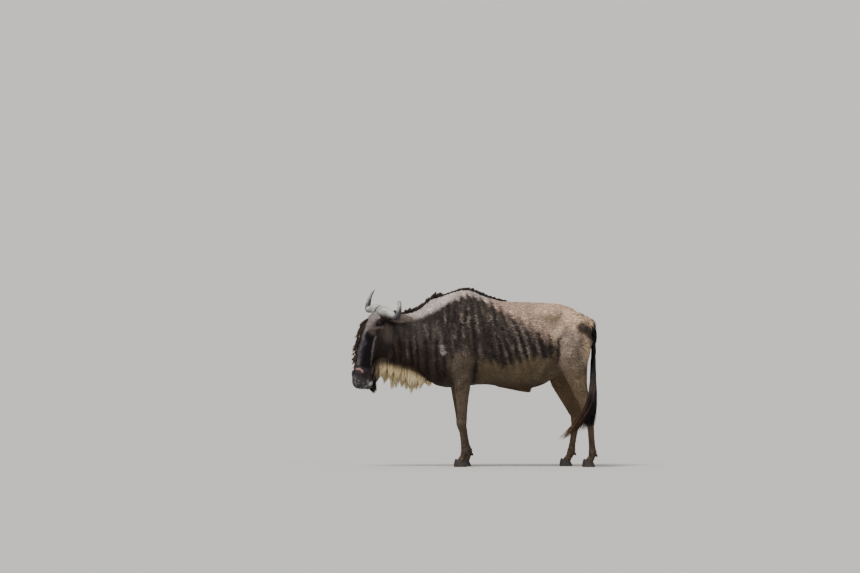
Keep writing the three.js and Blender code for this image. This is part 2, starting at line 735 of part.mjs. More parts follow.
// The brush of stiff hair down the front of the face
function browBrush() {
  const draw = drawer(11);
  const locks = [];
  const rowCount = 5;
  for (let row = 0; row < rowCount; row++) {
    for (const s of [-1, 0, 1]) {
      const u = row / (rowCount - 1);
      const a = mix(76, 366, u) + 18 * s * s + (draw() - 0.5) * 10;
      const angle = s * mix(26, 19, u) + (draw() - 0.5) * 7;
      const root = onFace([[a, angle, -7], [a + 4, angle, -7]], 1)[0];
      const length = mix(90, 35, u ** 0.6) * mix(0.88, 1.12, draw());
      const out = turned(headFrame, mix(0.2, 0.5, u), 1, Math.sin(radians(angle)) * 1.1);
      const down = turned(headFrame, 1, 0.1, Math.sin(radians(angle)) * 0.5);
      const path = [0, 0.3, 0.65, 1].map((t) => root.clone()
        .addScaledVector(out, length * 0.42 * Math.sin(t * 1.5))
        .addScaledVector(down, length * t * t * 0.9));
      locks.push(lock(path, 26, 7, turned(headFrame, 0, 1, 0)));
    }
  }
  return locks;
}

// Horns: along, dorsal, side, half height, half depth. The left one is worn short and blunt
const hornRows = [
  [22, 32, 4, 40, 48],
  [17, 37, 36, 42, 48],
  [10, 38, 71, 39, 43],
  [9, 34, 111, 34, 36],
  [15, 30, 151, 28, 29],
  [24, 26, 189, 23, 24],
  [27, 22, 222, 20, 20],
  [11, 20, 242, 17, 17],
  [-18, 19, 246, 15, 15],
];
const hornTips = {
  left: [[-50, 19, 233, 14, 13.5], [-78, 18, 215, 12.5, 12], [-91, 18, 206, 8, 8]],
  right: [
    [-50, 19, 241, 12.5, 12], [-80, 19, 229, 9.5, 9], [-108, 18, 209, 6, 5.5], [-130, 17, 189, 1.5, 1.5],
  ],
};
function hornRaw(side) {
  const sides = 10;
  const rows = [...hornRows, ...(side > 0 ? hornTips.left : hornTips.right)];
  const centre = rows.map(([a, d, s]) => inHead(a, d, s * side));
  const depthWay = turned(headFrame, 0, 1, 0);
  return loft(rows.map(([, , , high, deep], i) => {
    const next = centre[Math.min(i + 1, rows.length - 1)];
    const ahead = next.clone().sub(centre[Math.max(i - 1, 0)]).normalize();
    const depth = depthWay.clone().addScaledVector(ahead, -depthWay.dot(ahead)).normalize();
    const height = ahead.clone().cross(depth);
    return Array.from({ length: sides }, (_, n) => {
      const angle = n / sides * Math.PI * 2;
      return centre[i].clone()
        .addScaledVector(height, Math.cos(angle) * high)
        .addScaledVector(depth, Math.sin(angle) * deep);
    });
  }));
}
function hornSolid(side) {
  const inner = turned(headFrame, 0, 0, -side);
  const plane = planeThrough(inHead(0, 0, side * faceGap), inner);
  return keep(hornRaw(side), plane);
}

// Ears: a leaf with a cupped front, held out and back under the horn
const earLength = 185;
function earSolid(side) {
  const root = inHead(56, 8, side * 54);
  const away = turned(headFrame, -0.1, -0.52, side * 0.85).normalize();
  const front = turned(headFrame, 0.55, 0.75, side * 0.25);
  front.addScaledVector(away, -front.dot(away)).normalize();
  const across = away.clone().cross(front);
  const rows = [
    [0, 15, 150], [0.14, 17, 150], [0.27, 25, 118], [0.42, 33, 98], [0.57, 35, 86],
    [0.72, 31, 78], [0.85, 22, 70], [0.95, 11, 62], [1, 3, 60],
  ];
  const steps = 7;
  const thick = 5;
  return loft(rows.map(([t, radius, open]) => {
    const droop = vec(0, 0, -14 * t * t);
    const centre = root.clone().add(droop)
      .addScaledVector(away, earLength * t)
      .addScaledVector(front, radius * 0.4);
    const inner = Math.max(radius - thick, radius * 0.55);
    const arc = (r, n) => {
      const angle = radians(mix(-open, open, n / steps));
      return centre.clone()
        .addScaledVector(front, -Math.cos(angle) * r)
        .addScaledVector(across, Math.sin(angle) * r);
    };
    const outside = Array.from({ length: steps + 1 }, (_, n) => arc(radius, n));
    const inside = Array.from({ length: steps + 1 }, (_, n) => arc(inner, steps - n));
    return [...outside, ...inside];
  }));
}

// Legs
function legSolid(name) {
  const rows = smoothRows(legRows[name], 1);
  const hind = name.startsWith('hind');
  const cut = hind ? hindCut : foreCut;
  const below = rows.filter(([x, y, z]) => across(cut, vec(x, y, z)) > 14);
  const above = rows[rows.length - below.length - 1];
  const [first, second] = [vec(...above), vec(...below[0])];
  const share = across(cut, first) / (across(cut, first) - across(cut, second));
  const start = first.lerp(second, share).addScaledVector(cut.normal, faceGap);
  const levels = [start.toArray(), ...below];
  const foot = rows.at(-1);
  const end = vec(foot[0], foot[1], foot[2]);
  const coronet = vec(-0.34, 0, -1).normalize();
  const rings = levels.map(([x, y, z], i) => {
    const t = i / (levels.length - 1);
    const early = clamp(1 - t / 0.45, 0, 1);
    const late = clamp((t - 0.85) / 0.15, 0, 1);
    const normal = vec(0, 0, -1).lerp(cut.normal, early * early).lerp(coronet, late).normalize();
    const right = vec(0, -1, 0);
    return { centre: vec(x, y, z), right, up: normal.clone().cross(right) };
  });
  rings.at(-1).centre.copy(end);
  const fetlock = rows.at(-3);
  const dew = bothSides((s) => {
    const at = vec(fetlock[0] + fetlock[5] * 0.62, fetlock[1] + 14 * s, fetlock[2] - 12);
    const tip = at.clone().add(vec(15, 2 * s, -19));
    return tube([at, at.clone().lerp(tip, 0.6), tip], [10.5, 9, 5], 6);
  });
  return joined([skinLoft(skin, rings, 12, 260), ...dew]);
}
function clawSolid(name, side) {
  const [x, y] = legRows[name].at(-1);
  const length = 92;
  const width = 37;
  const heel = x + 42;
  const levels = [
    { z: 0, grow: 1.0, shift: 0 }, { z: 9, grow: 0.99, shift: 2 },
    { z: 26, grow: 0.9, shift: 8 }, { z: clawHeight, grow: 0.74, shift: 15 },
  ];
  const outline = [
    [0, 0.12], [0.1, 0.02], [0.45, 0], [0.8, 0.05], [1, 0.22], [1.03, 0.42],
    [0.95, 0.68], [0.72, 0.92], [0.42, 1], [0.12, 0.88], [0, 0.55],
  ];
  const slope = 0.34;
  return loft(levels.map(({ z, grow, shift }) => outline.map(([t, u]) => {
    const px = heel - (shift + t * length * grow);
    const inner = hoofGap / 2 + (1 - grow) * width * 0.25;
    const py = y + side * (inner + u * width * grow);
    const top = z === clawHeight ? 46 - 1.1 * faceGap + slope * (x - px) : z;
    return vec(px, py, top);
  })));
}

// Tail: the dock, and the flow of the long hair, which hangs outside the left hock and swings forward
const dock = [
  [800, 0, 1066, 34], [840, 0, 1044, 31], [864, -4, 985, 23], [866, -14, 918, 18],
  [860, -44, 798, 14], [860, -92, 690, 10], [862, -130, 610, 5],
];
const hangFlow = [
  [872, -6, 960], [872, -20, 880], [866, -50, 790], [862, -108, 665], [862, -160, 560],
  [860, -200, 460], [852, -214, 380], [842, -218, 290],
].map((p) => vec(...p));
const swingFlow = [
  [872, -6, 960], [872, -20, 880], [866, -50, 790], [862, -108, 665], [856, -168, 560],
  [832, -210, 460], [772, -224, 360], [690, -222, 262], [612, -214, 190],
].map((p) => vec(...p));
function tailLocks() {
  const draw = drawer(5);
  const hang = new THREE.CatmullRomCurve3(hangFlow, false, 'centripetal');
  const swing = new THREE.CatmullRomCurve3(swingFlow, false, 'centripetal');
  const count = 20;
  return Array.from({ length: count }, (_, n) => {
    const order = n / (count - 1);
    const turn = n * 2.4;
    const start = mix(0.02, 0.46, order) + draw() * 0.03;
    const end = clamp(start + mix(0.3, 0.56, Math.min(order * 1.6, 1)) * mix(0.86, 1.12, draw()), 0, 1);
    const lean = draw() ** 2.2;
    const spread = mix(13, 34, order) * mix(0.8, 1.1, draw());
    const path = Array.from({ length: 6 }, (_, i) => {
      const t = i / 5;
      const at = mix(start, end, t);
      const p = hang.getPoint(at).lerp(swing.getPoint(at), lean);
      const out = spread * Math.sin(Math.min(t * 1.7, 1.35)) + 2;
      return p.add(vec(Math.cos(turn) * out, Math.sin(turn) * out * 0.5, 0));
    });
    return lock(path, mix(26, 34, draw()), 9, vec(0, 1, 0));
  });
}
function tailSolid() {
  const rows = smoothRows(dock, 2);
  return tube(rows.map(([x, y, z]) => vec(x, y, z)), rows.map((r) => r[3]), 8, 1, vec(0, 1, 0));
}

// Mane: along the crest from the poll to behind the withers, falling to the right
const maneRise = [
  [-600, 40], [-540, 50], [-330, 58], [-280, 50], [-210, 26], [0, 20], [120, 16], [220, 12],
];
const maneLine = [
  [-598, 1112], [-540, 1112], [-470, 1124], [-400, 1144], [-320, 1186], [-240, 1230],
  [-160, 1266], [-80, 1284], [0, 1270], [80, 1236], [150, 1212], [205, 1202],
];
function maneLocks(fromX, toX, seed) {
  const draw = drawer(seed);
  const line = new THREE.CatmullRomCurve3(maneLine.map(([x, z]) => vec(x, 0, z)), false, 'centripetal');
  const depth = 130;
  const onCrest = (x, z, angle, lift) => {
    const direction = vec(0, Math.sin(radians(angle)), Math.cos(radians(angle)));
    return reachOut(skin, vec(x, neckAside(x), z - depth), direction, 300).addScaledVector(direction, lift);
  };
  const locks = [];
  const count = 19;
  for (let n = 0; n < count; n++) {
    const u = (n + 0.5) / count;
    const base = line.getPoint(u);
    if (base.x < fromX || base.x > toX) continue;
    const short = mix(1, 0.62, Math.abs(u - 0.42) / 0.58);
    const upright = onCrest(base.x, base.z, -1, -15);
    const rise = valueAt(maneRise, base.x) * mix(0.86, 1.04, draw());
    const lean = mix(46, 64, draw());
    const standing = [0, 0.4, 0.75, 1].map((t) => (
      upright.clone().add(vec(lean * t * t, 8 * t, 6 + rise * t))
    ));
    locks.push(lock(standing, mix(46, 52, draw()), 10, vec(0, 1, 0.1), 1, 1));
    const end = mix(48, 66, draw()) * short;
    const back = mix(14, 34, draw());
    const lifts = [-12, 6, 9, 8, 4];
    const falling = [0, 0.2, 0.45, 0.72, 1].map((t, i) => (
      onCrest(base.x + 17 + back * t, base.z, mix(6, end, t), lifts[i])
    ));
    const outer = radians(end * 0.6);
    locks.push(lock(falling, mix(42, 50, draw()), 8, vec(0, Math.sin(outer), Math.cos(outer)), 0.8));
  }
  return locks;
}

// Beard: rows of long locks under the throat and the neck, swept forward under the throat
const beardTips = [[-742, 566], [-700, 556], [-662, 590], [-575, 560], [-440, 526], [-322, 584]];
function hanging(root, sway, width, draw) {
  const swing = vec(draw() - 0.5, draw() - 0.5, 0).multiplyScalar(16);
  const path = [0, 0.25, 0.5, 0.75, 1].map((t) => root.clone()
    .add(vec(sway.x * t * t, sway.y * t, sway.z * t))
    .addScaledVector(swing, Math.sin(t * Math.PI)));
  return lock(path, width, 8, vec(0.15, 1, 0));
}
const neckAside = (x) => -50 * clamp((-x - 250) / 380, 0, 1) ** 1.6;
function throatLocks(fromX, toX) {
  const draw = drawer(23);
  const locks = [];
  const count = 9;
  for (const side of [-1, 0, 1]) {
    for (let n = 0; n < count; n++) {
      const u = (n + 0.4 + 0.3 * side + 0.2 * draw()) / count;
      const x = mix(-742, -322, u);
      if (x < fromX || x > toX) continue;
      const from = vec(x, neckAside(x) + side * 30, 880);
      const root = reachOut(skin, from, vec(0, 0, -1), 500);
      root.z += 32;
      const length = (root.z - valueAt(beardTips, x)) * mix(side ? 0.82 : 0.94, side ? 0.98 : 1.04, draw());
      locks.push(hanging(root, vec(mix(-44, 8, u), side * 14, -length), mix(40, 50, draw()), draw));
    }
  }
  return locks;
}

// Dark fringe under the chin and the jaw
function jawLocks() {
  const draw = drawer(29);
  const locks = [];
  const count = 3;
  for (const side of [-1, 0, 1]) {
    for (let n = 0; n < count; n++) {
      const u = (n + 0.45 + 0.3 * side + 0.2 * draw()) / count;
      const a = mix(568, 425, clamp(u, 0, 1));
      const direction = turned(headFrame, 0, -1, side * 0.45);
      const root = reachOut(skin, inHead(a, faceMiddle(a), 0), direction, 200);
      root.addScaledVector(direction, -10);
      const length = mix(60, 120, u) * mix(0.85, 1.08, draw());
      const sway = vec(mix(24, 34, draw()), side * mix(2, 10, draw()), -length);
      locks.push(hanging(root, sway, mix(28, 36, draw()), draw));
    }
  }
  return locks;
}

// Materials and the finished group
const finish = (color, roughness) => new THREE.MeshStandardMaterial({ color, roughness, metalness: 0 });
const coat = finish('#8d7768', 0.85);
const darkCoat = finish('#4c4038', 0.85);
const legCoat = finish('#5c4d42', 0.8);
const blackHair = finish('#1a1618', 0.7);
const horn = finish('#a9aba6', 0.45);
const hoof = finish('#2b2725', 0.5);
const eye = finish('#120c0a', 0.08);

const model = new THREE.Group();
function add(name, solid, material) {
  const mesh = new THREE.Mesh(geometryOf(solid), material);
  mesh.name = name;
  model.add(mesh);
  return mesh;
}

const hornPair = { left: hornSolid(1), right: hornSolid(-1) };
const earPair = { left: earSolid(1), right: earSolid(-1) };
const head = headSolid(Object.values(hornPair));
const torsoFlesh = torsoSolid();
const neckFlesh = neckCore();
const tailFlesh = tailSolid();
const bare = {
  head: grown(head, faceGap),
  torso: grown(torsoFlesh, faceGap),
  neck: grown(neckFlesh, faceGap),
};

const torso = joined([torsoFlesh, ...maneLocks(-225, 260, 3)]);
const neckWithHair = joined([neckFlesh, ...maneLocks(-640, -236, 7), ...throatLocks(throatCutX, -300)]);
add('torso', keep(torso, neckPlane), coat);
add('neck', keep(keep(neckWithHair, other(neckPlane), faceGap), other(headPlane), faceGap), darkCoat);
add('head', keep(joined([head, ...jawLocks(), ...throatLocks(-760, throatCutX)]), headPlane), darkCoat);
for (const side of ['left', 'right']) {
  const besideEar = joined([bare.head, bare.neck, grown(hornPair[side], faceGap)]);
  add(`ear_${side}`, earPair[side].subtract(besideEar), darkCoat);
  add(`eye_${side}`, eyeBall(side === 'left' ? 1 : -1, eyeRadius), eye);
  add(`horn_${side}`, hornPair[side], horn);
}
for (const name of Object.keys(legRows)) {
  add(name, legSolid(name), legCoat);
  for (const [claw, side] of [['outer', 1], ['inner', -1]]) {
    const outward = name.endsWith('left') ? -side : side;
    add(`hoof_${name.replace('leg', '')}_${claw}`, clawSolid(name, outward), hoof);
  }
}
add('tail', joined([tailFlesh, ...tailLocks()]).subtract(bare.torso), blackHair);

// The origin is on the floor, under the middle of the whole
const bounds = new THREE.Box3().setFromObject(model);
const middle = bounds.getCenter(vec(0, 0, 0));
model.position.set(-middle.x, -middle.y, 0);

export default model;
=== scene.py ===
import bpy
import numpy as np
from math import cos, sin, radians, pi
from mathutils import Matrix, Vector
from mathutils.kdtree import KDTree


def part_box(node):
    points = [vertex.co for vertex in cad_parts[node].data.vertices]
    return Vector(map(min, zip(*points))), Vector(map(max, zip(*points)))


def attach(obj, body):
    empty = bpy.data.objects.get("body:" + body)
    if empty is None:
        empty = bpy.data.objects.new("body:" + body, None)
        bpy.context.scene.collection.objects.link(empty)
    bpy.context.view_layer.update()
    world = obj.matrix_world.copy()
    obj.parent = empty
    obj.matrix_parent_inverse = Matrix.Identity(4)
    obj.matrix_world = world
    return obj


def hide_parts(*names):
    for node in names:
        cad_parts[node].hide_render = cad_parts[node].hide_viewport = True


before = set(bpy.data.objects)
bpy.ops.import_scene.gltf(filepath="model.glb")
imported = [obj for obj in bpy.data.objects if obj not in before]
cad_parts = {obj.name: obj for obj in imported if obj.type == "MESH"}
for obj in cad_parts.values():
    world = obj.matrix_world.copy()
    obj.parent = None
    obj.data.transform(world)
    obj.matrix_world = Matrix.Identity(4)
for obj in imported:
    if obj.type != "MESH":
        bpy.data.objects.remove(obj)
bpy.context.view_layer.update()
print("frame loaded")


# Measures are in millimetres in the maker's own axes, as in the solids. toRow moves them to the frame, in
# metres, by where the back of the heel and the inner side of one claw are in both
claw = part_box("hoof_fore_left_outer")
clawHeel, clawInside = -55, -106.5
shift = np.array([claw[1].x * 1000 - clawHeel, claw[1].y * 1000 - clawInside, 0.0])


def toRow(points):
    return (np.asarray(points, float) + shift) / 1000


def mix(a, b, t):
    return a + (b - a) * t


def clamp(value, low=0.0, high=1.0):
    return np.minimum(np.maximum(value, low), high)


def easeIn(value, low, high):
    t = clamp((value - low) / (high - low))
    return t * t * (3 - 2 * t)


def unit(vectors):
    return vectors / np.maximum(np.linalg.norm(vectors, axis=-1, keepdims=True), 1e-9)


# How the head is carried, and its own directions: along to the lips, dorsal out of the face, side to its left
headPose = {"yaw": 28, "roll": 7, "pitch": 80, "poll": (-646, -46, 1134)}


def headAxes():
    pitch, yaw, roll = radians(headPose["pitch"]), radians(headPose["yaw"]), radians(headPose["roll"])
    own = np.array([[-cos(pitch), 0, -sin(pitch)], [-sin(pitch), 0, cos(pitch)], [0, -1, 0]])
    tilt = np.array([[1, 0, 0], [0, cos(roll), -sin(roll)], [0, sin(roll), cos(roll)]])
    turn = np.array([[cos(yaw), -sin(yaw), 0], [sin(yaw), cos(yaw), 0], [0, 0, 1]])
    return own @ (turn @ tilt).T


headDirections = headAxes()
poll = np.array(headPose["poll"], float)


def inHead(points):
    return np.atleast_2d(np.asarray(points, float)) @ headDirections + poll


def toHead(points):
    return (points - poll) @ headDirections.T


# A place between b and c on the smooth line through a, b, c and d
def onCurve(a, b, c, d, t):
    bend = 2 * a - 5 * b + 4 * c - d
    twist = 3 * b - a - 3 * c + d
    return 0.5 * (2 * b + (c - a) * t + bend * t * t + twist * t ** 3)


def smoothRows(rows, steps):
    rows = np.array(rows, float)
    last = len(rows) - 1
    out = []
    for i in range(last):
        near = rows[max(i - 1, 0)], rows[i], rows[i + 1], rows[min(i + 2, last)]
        out += [onCurve(*near, s / steps) for s in range(steps)]
    return np.array(out + [rows[-1]])


def rowDot(a, b):
    return np.einsum("ij,ij->i", a, b)


farAway = 1000.0


# A form of oval sections along a smooth line. A row is x, y, z, half width, half height above and below,
# and roundness
class Sweep:
    def __init__(self, rows, head=False, blend=40, cap=0.8, steps=5):
        rows = smoothRows(rows, steps)
        self.blend, self.cap, self.hollow = blend, cap, False
        self.centre = inHead(rows[:, :3]) if head else rows[:, :3]
        self.size = rows[:, 3:7]
        aside = headDirections[2] if head else np.array([0.0, -1, 0])
        last = len(rows) - 1
        nextOnes = self.centre[np.minimum(np.arange(last + 1) + 1, last)]
        lastOnes = self.centre[np.maximum(np.arange(last + 1) - 1, 0)]
        self.ahead = unit(nextOnes - lastOnes)
        self.across = unit(aside - (self.ahead @ aside)[:, None] * self.ahead)
        self.above = np.cross(self.ahead, self.across)
        reach = self.size[:, :3].max() + blend + 60
        self.low, self.high = self.centre.min(0) - reach, self.centre.max(0) + reach

    def nearest(self, p):
        a, step = self.centre[:-1], np.diff(self.centre, axis=0)
        length = (step * step).sum(1)
        along = p @ step.T - (a * step).sum(1)
        t = clamp(along / length)
        gone = (p * p).sum(1)[:, None] - 2 * (p @ a.T) + (a * a).sum(1) - 2 * t * along + t * t * length
        at = gone.argmin(1)
        return at, t[np.arange(len(p)), at]

    def near(self, p):
        at, share = self.nearest(p)
        s = share[:, None]
        offset = p - mix(self.centre[at], self.centre[at + 1], s)
        part = lambda axes: mix(rowDot(offset, axes[at]), rowDot(offset, axes[at + 1]), share)
        across, above, ahead = part(self.across), part(self.above), part(self.ahead)
        size = mix(self.size[at], self.size[at + 1], s)
        high = np.where(above > 0, size[:, 1], size[:, 2])
        wide, power = size[:, 0], size[:, 3]
        atEnd = ((at == 0) & (share == 0)) | ((at == len(self.centre) - 2) & (share == 1))
        capSize = np.minimum(wide, high) * self.cap
        beyond = np.where(atEnd, np.abs(ahead) / capSize, 0)
        a, b = np.abs(across) / wide + 1e-9, np.abs(above) / high + 1e-9
        ring = (a ** power + b ** power) ** (1 / power)
        k = np.maximum(np.hypot(ring, beyond), 1e-4)
        slopeA = (a / ring) ** (power - 1) * (ring / k) / wide
        slopeB = (b / ring) ** (power - 1) * (ring / k) / high
        slope = np.sqrt(slopeA ** 2 + slopeB ** 2 + (beyond / k / capSize) ** 2)
        return (k - 1) / np.maximum(slope, 1e-9)

    def distance(self, p):
        out = np.full(len(p), farAway)
        close = ((p > self.low) & (p < self.high)).all(1)
        if close.any():
            out[close] = self.near(p[close])
        return out


# An egg-shaped form, or a hollow of that shape
class Lump:
    def __init__(self, centre, sizes, head=False, blend=30, hollow=False):
        self.head, self.blend, self.hollow = head, blend, hollow
        self.centre, self.sizes = np.array(centre, float), np.array(sizes, float)

    def distance(self, p):
        q = (toHead(p) if self.head else p) - self.centre
        near = np.linalg.norm(q / self.sizes, axis=1)
        steep = np.linalg.norm(q / self.sizes ** 2, axis=1)
        return near * (near - 1) / np.maximum(steep, 1e-9)


def blended(a, b, reach):
    h = np.maximum(reach - np.abs(a - b), 0) / reach
    return np.minimum(a, b) - h * h * reach / 4


# Trunk: x, top, bottom, half width, widest height, roundness
trunkRows = [
    (822, 1092, 890, 40, 975, 2.0), (798, 1115, 840, 92, 962, 2.0), (755, 1142, 790, 146, 952, 2.0),
    (700, 1170, 750, 186, 944, 2.0), (625, 1190, 720, 206, 932, 2.0), (520, 1198, 640, 226, 912, 2.0),
    (430, 1200, 582, 240, 895, 2.0), (330, 1199, 560, 246, 883, 2.0), (214, 1203, 572, 244, 877, 1.95),
    (100, 1232, 590, 234, 874, 1.85), (20, 1265, 592, 220, 872, 1.75), (-50, 1286, 584, 203, 872, 1.7),
    (-120, 1285, 576, 186, 876, 1.7), (-190, 1266, 574, 170, 882, 1.75), (-260, 1230, 602, 145, 892, 1.85),
    (-320, 1192, 650, 118, 900, 1.9),
]
neckRows = [
    (-150, 0, 960, 165, 275, 330, 1.8), (-300, -5, 945, 128, 250, 288, 1.85),
    (-420, -16, 940, 104, 196, 238, 1.9), (-520, -30, 946, 92, 166, 212, 1.95),
    (-580, -40, 960, 86, 148, 222, 2), (-622, -50, 985, 78, 122, 250, 2),
]
# Each leg from shoulder blade or hip down: x, y, z, half width, half depth in front and behind
legRows = {
    "foreLeft": [
        (-15, -88, 1150, 42, 60, 60), (-72, -128, 1010, 56, 88, 92), (-125, -146, 860, 62, 96, 108),
        (-112, -146, 740, 58, 86, 98), (-94, -137, 650, 54, 72, 78), (-89, -129, 590, 48, 62, 62),
        (-90, -122, 500, 40, 51, 50), (-91, -116, 400, 34, 41, 41), (-91, -112, 345, 34, 39, 39),
        (-93, -110, 305, 36, 40, 38), (-88, -108, 262, 27, 29, 31), (-84, -106, 210, 21, 24, 26),
        (-79, -105, 150, 21, 24, 26), (-74, -104, 108, 27, 30, 33), (-84, -104, 72, 25, 27, 28),
        (-97, -104, 46, 33, 32, 32),
    ],
    "foreRight": [
        (-15, 88, 1150, 42, 60, 60), (-80, 128, 1010, 56, 88, 92), (-140, 146, 860, 62, 98, 108),
        (-134, 146, 740, 58, 88, 98), (-122, 137, 650, 54, 72, 78), (-116, 129, 590, 48, 62, 62),
        (-112, 122, 500, 40, 51, 50), (-104, 116, 400, 34, 41, 41), (-98, 112, 345, 34, 39, 39),
        (-94, 110, 305, 36, 40, 38), (-80, 108, 262, 27, 29, 31), (-68, 106, 210, 21, 24, 26),
        (-55, 105, 150, 21, 24, 26), (-45, 104, 108, 27, 30, 33), (-52, 104, 72, 25, 27, 28),
        (-64, 104, 46, 33, 32, 32),
    ],
    "hindLeft": [
        (672, -92, 1085, 66, 92, 120), (688, -118, 970, 84, 128, 146), (706, -134, 850, 80, 118, 138),
        (720, -138, 740, 68, 104, 104), (741, -134, 640, 52, 79, 78), (764, -129, 560, 42, 61, 58),
        (792, -124, 485, 34, 50, 50), (820, -122, 425, 36, 56, 62), (830, -121, 380, 34, 47, 46),
        (836, -120, 325, 27, 34, 33), (841, -120, 262, 22, 27, 28), (848, -120, 150, 21, 26, 28),
        (853, -120, 104, 27, 32, 34), (845, -120, 70, 25, 28, 28), (832, -120, 46, 33, 32, 32),
    ],
    "hindRight": [
        (640, 92, 1085, 66, 92, 120), (652, 118, 970, 84, 128, 160), (632, 134, 850, 80, 120, 150),
        (622, 138, 740, 70, 108, 120), (628, 134, 640, 54, 88, 93), (650, 129, 560, 43, 68, 71),
        (682, 124, 485, 35, 54, 59), (722, 122, 420, 36, 55, 62), (738, 121, 375, 34, 47, 50),
        (735, 120, 325, 28, 37, 36), (727, 120, 262, 22, 29, 29), (711, 120, 160, 21, 27, 28),
        (703, 120, 110, 27, 32, 34), (688, 120, 72, 25, 28, 28), (672, 120, 46, 33, 32, 32),
    ],
}
faceRows = [
    (6, -10, 0, 54, 40, 54, 2), (46, 10, 0, 74, 72, 74, 2), (100, 34, 0, 76, 92, 86, 2.1),
    (160, 54, 0, 66, 96, 90, 2.2), (230, 72, 0, 56, 90, 84, 2.2), (320, 88, 0, 51, 80, 74, 2.3),
    (400, 86, 0, 51, 72, 65, 2.4), (455, 78, 0, 58, 70, 66, 2.6), (510, 68, 0, 69, 73, 76, 2.9),
    (550, 62, 0, 70, 70, 74, 2.9), (576, 55, 0, 62, 56, 60, 2.7),
]
trunkForm = [(x, 0, mid, wide, top - mid, mid - low, shape) for x, top, low, wide, mid, shape in trunkRows]
bodyFront = [Sweep(trunkForm, blend=60, cap=0.5), Sweep(neckRows, blend=90)]
legSweeps = {name: Sweep([row + (2,) for row in rows], blend=46, cap=0.5) for name, rows in legRows.items()}
sheath = Sweep([(190, 0, 618, 26, 30, 28, 2), (280, 0, 590, 24, 28, 26, 2), (345, 0, 566, 20, 24, 22, 2),
                (396, 0, 546, 12, 13, 13, 2)], blend=40)
face = Sweep(faceRows, head=True, blend=60, cap=0.3)
bodyLumps = []
for s in (-1, 1):
    bodyLumps.append(Lump((545, 150 * s, 1108), (60, 44, 34), blend=90))
    bodyLumps.append(Lump((812, 66 * s, 985), (34, 34, 48), blend=45))
    bodyLumps.append(Lump((-196, 100 * s, 800), (62, 66, 100), blend=70))
    bodyLumps.append(Lump((575, 268 * s, 975), (80, 52, 95), blend=60, hollow=True))
headLumps = [Lump((548, 8, 0), (44, 26, 46), head=True, blend=18)]
for s in (-1, 1):
    headLumps.append(Lump((90, 60, 60 * s), (38, 36, 34), head=True, blend=26))
    headLumps.append(Lump((172, 8, 44 * s), (80, 54, 30), head=True, blend=30))
    headLumps.append(Lump((486, 100, 38 * s), (46, 42, 34), head=True, blend=24))
allForms = bodyFront + list(legSweeps.values()) + bodyLumps + [sheath, face] + headLumps


batch = 40000  # points worked out at a time


def fleshField(points):
    out = np.empty(len(points))
    for start in range(0, len(points), batch):
        p = points[start:start + batch]
        d = np.full(len(p), farAway)
        for form in allForms:
            own = form.distance(p)
            d = -blended(-d, own, form.blend) if form.hollow else blended(d, own, form.blend)
        out[start:start + batch] = d
    return out


def fieldSlope(points, h=0.6):
    steps = np.eye(3) * h
    return np.stack([fleshField(points + s) - fleshField(points - s) for s in steps], 1) / (2 * h)


# Where lines that start inside the flesh first leave it
def reachOut(starts, directions, limit=300, step=6.0):
    starts, directions = np.atleast_2d(starts).astype(float), unit(np.atleast_2d(directions).astype(float))
    low, high = np.zeros(len(starts)), np.full(len(starts), float(limit))
    going = np.ones(len(starts), bool)
    for gone in np.arange(step, limit + step, step):
        if not going.any():
            break
        inside = fleshField(starts[going] + directions[going] * gone) < 0
        index = np.flatnonzero(going)
        low[index[inside]] = gone
        high[index[~inside]] = gone
        going[index[~inside]] = False
    for _ in range(10):
        middle = (low + high) / 2
        inside = fleshField(starts + directions * middle[:, None]) < 0
        low, high = np.where(inside, middle, low), np.where(inside, high, middle)
    return starts + directions * low[:, None]


# Meshes from arrays
def makeMesh(name, points, faces, material, uv=None, attributes=None):
    mesh = bpy.data.meshes.new(name)
    faces = np.asarray(faces, np.int32)
    sides = faces.shape[1]
    mesh.vertices.add(len(points))
    mesh.vertices.foreach_set("co", np.asarray(points, np.float32).ravel())
    mesh.loops.add(faces.size)
    mesh.loops.foreach_set("vertex_index", faces.ravel())
    mesh.polygons.add(len(faces))
    mesh.polygons.foreach_set("loop_start", np.arange(0, faces.size, sides, dtype=np.int32))
    mesh.update(calc_edges=True)
    mesh.polygons.foreach_set("use_smooth", np.ones(len(faces), bool))
    if uv is not None:
        layer = mesh.uv_layers.new(name="OFBake")
        layer.data.foreach_set("uv", np.asarray(uv, np.float32)[faces.ravel()].ravel())
    for key, values in (attributes or {}).items():
        kind, field = ("FLOAT_VECTOR", "vector") if np.ndim(values) == 2 else ("FLOAT", "value")
        attribute = mesh.attributes.new(key, kind, "POINT")
        attribute.data.foreach_set(field, np.ravel(values).astype(np.float32))
    mesh.materials.append(material)
    made = bpy.data.objects.new(name, mesh)
    bpy.context.scene.collection.objects.link(made)
    return made


# One point in each box of a grid that the skin crosses, joined across each crossed edge
skinMake = {
    "depth": 5.0, "headStep": 5.0, "bodyStep": 11.0, "heightStep": 7.0, "legStep": 9, "coarse": 4, "near": 75,
    "x": (-960, -540, 960), "y": (-300, -170, 90, 310), "z": (20, 540, 1340),
}


def gridLines():
    fine, wide = skinMake["headStep"], skinMake["bodyStep"]
    low, high = skinMake["legStep"], skinMake["heightStep"]
    muzzle, headEnd, rump = skinMake["x"]
    left, headLeft, headRight, right = skinMake["y"]
    foot, legTop, hump = skinMake["z"]
    xs = np.concatenate([np.arange(muzzle, headEnd, fine), np.arange(headEnd, rump, wide)])
    middle = np.arange(headLeft, headRight, fine + 1)
    ys = np.concatenate([np.arange(left, headLeft, wide), middle, np.arange(headRight, right, wide)])
    zs = np.concatenate([np.arange(foot, legTop, low), np.arange(legTop, hump, high)])
    return xs, ys, zs


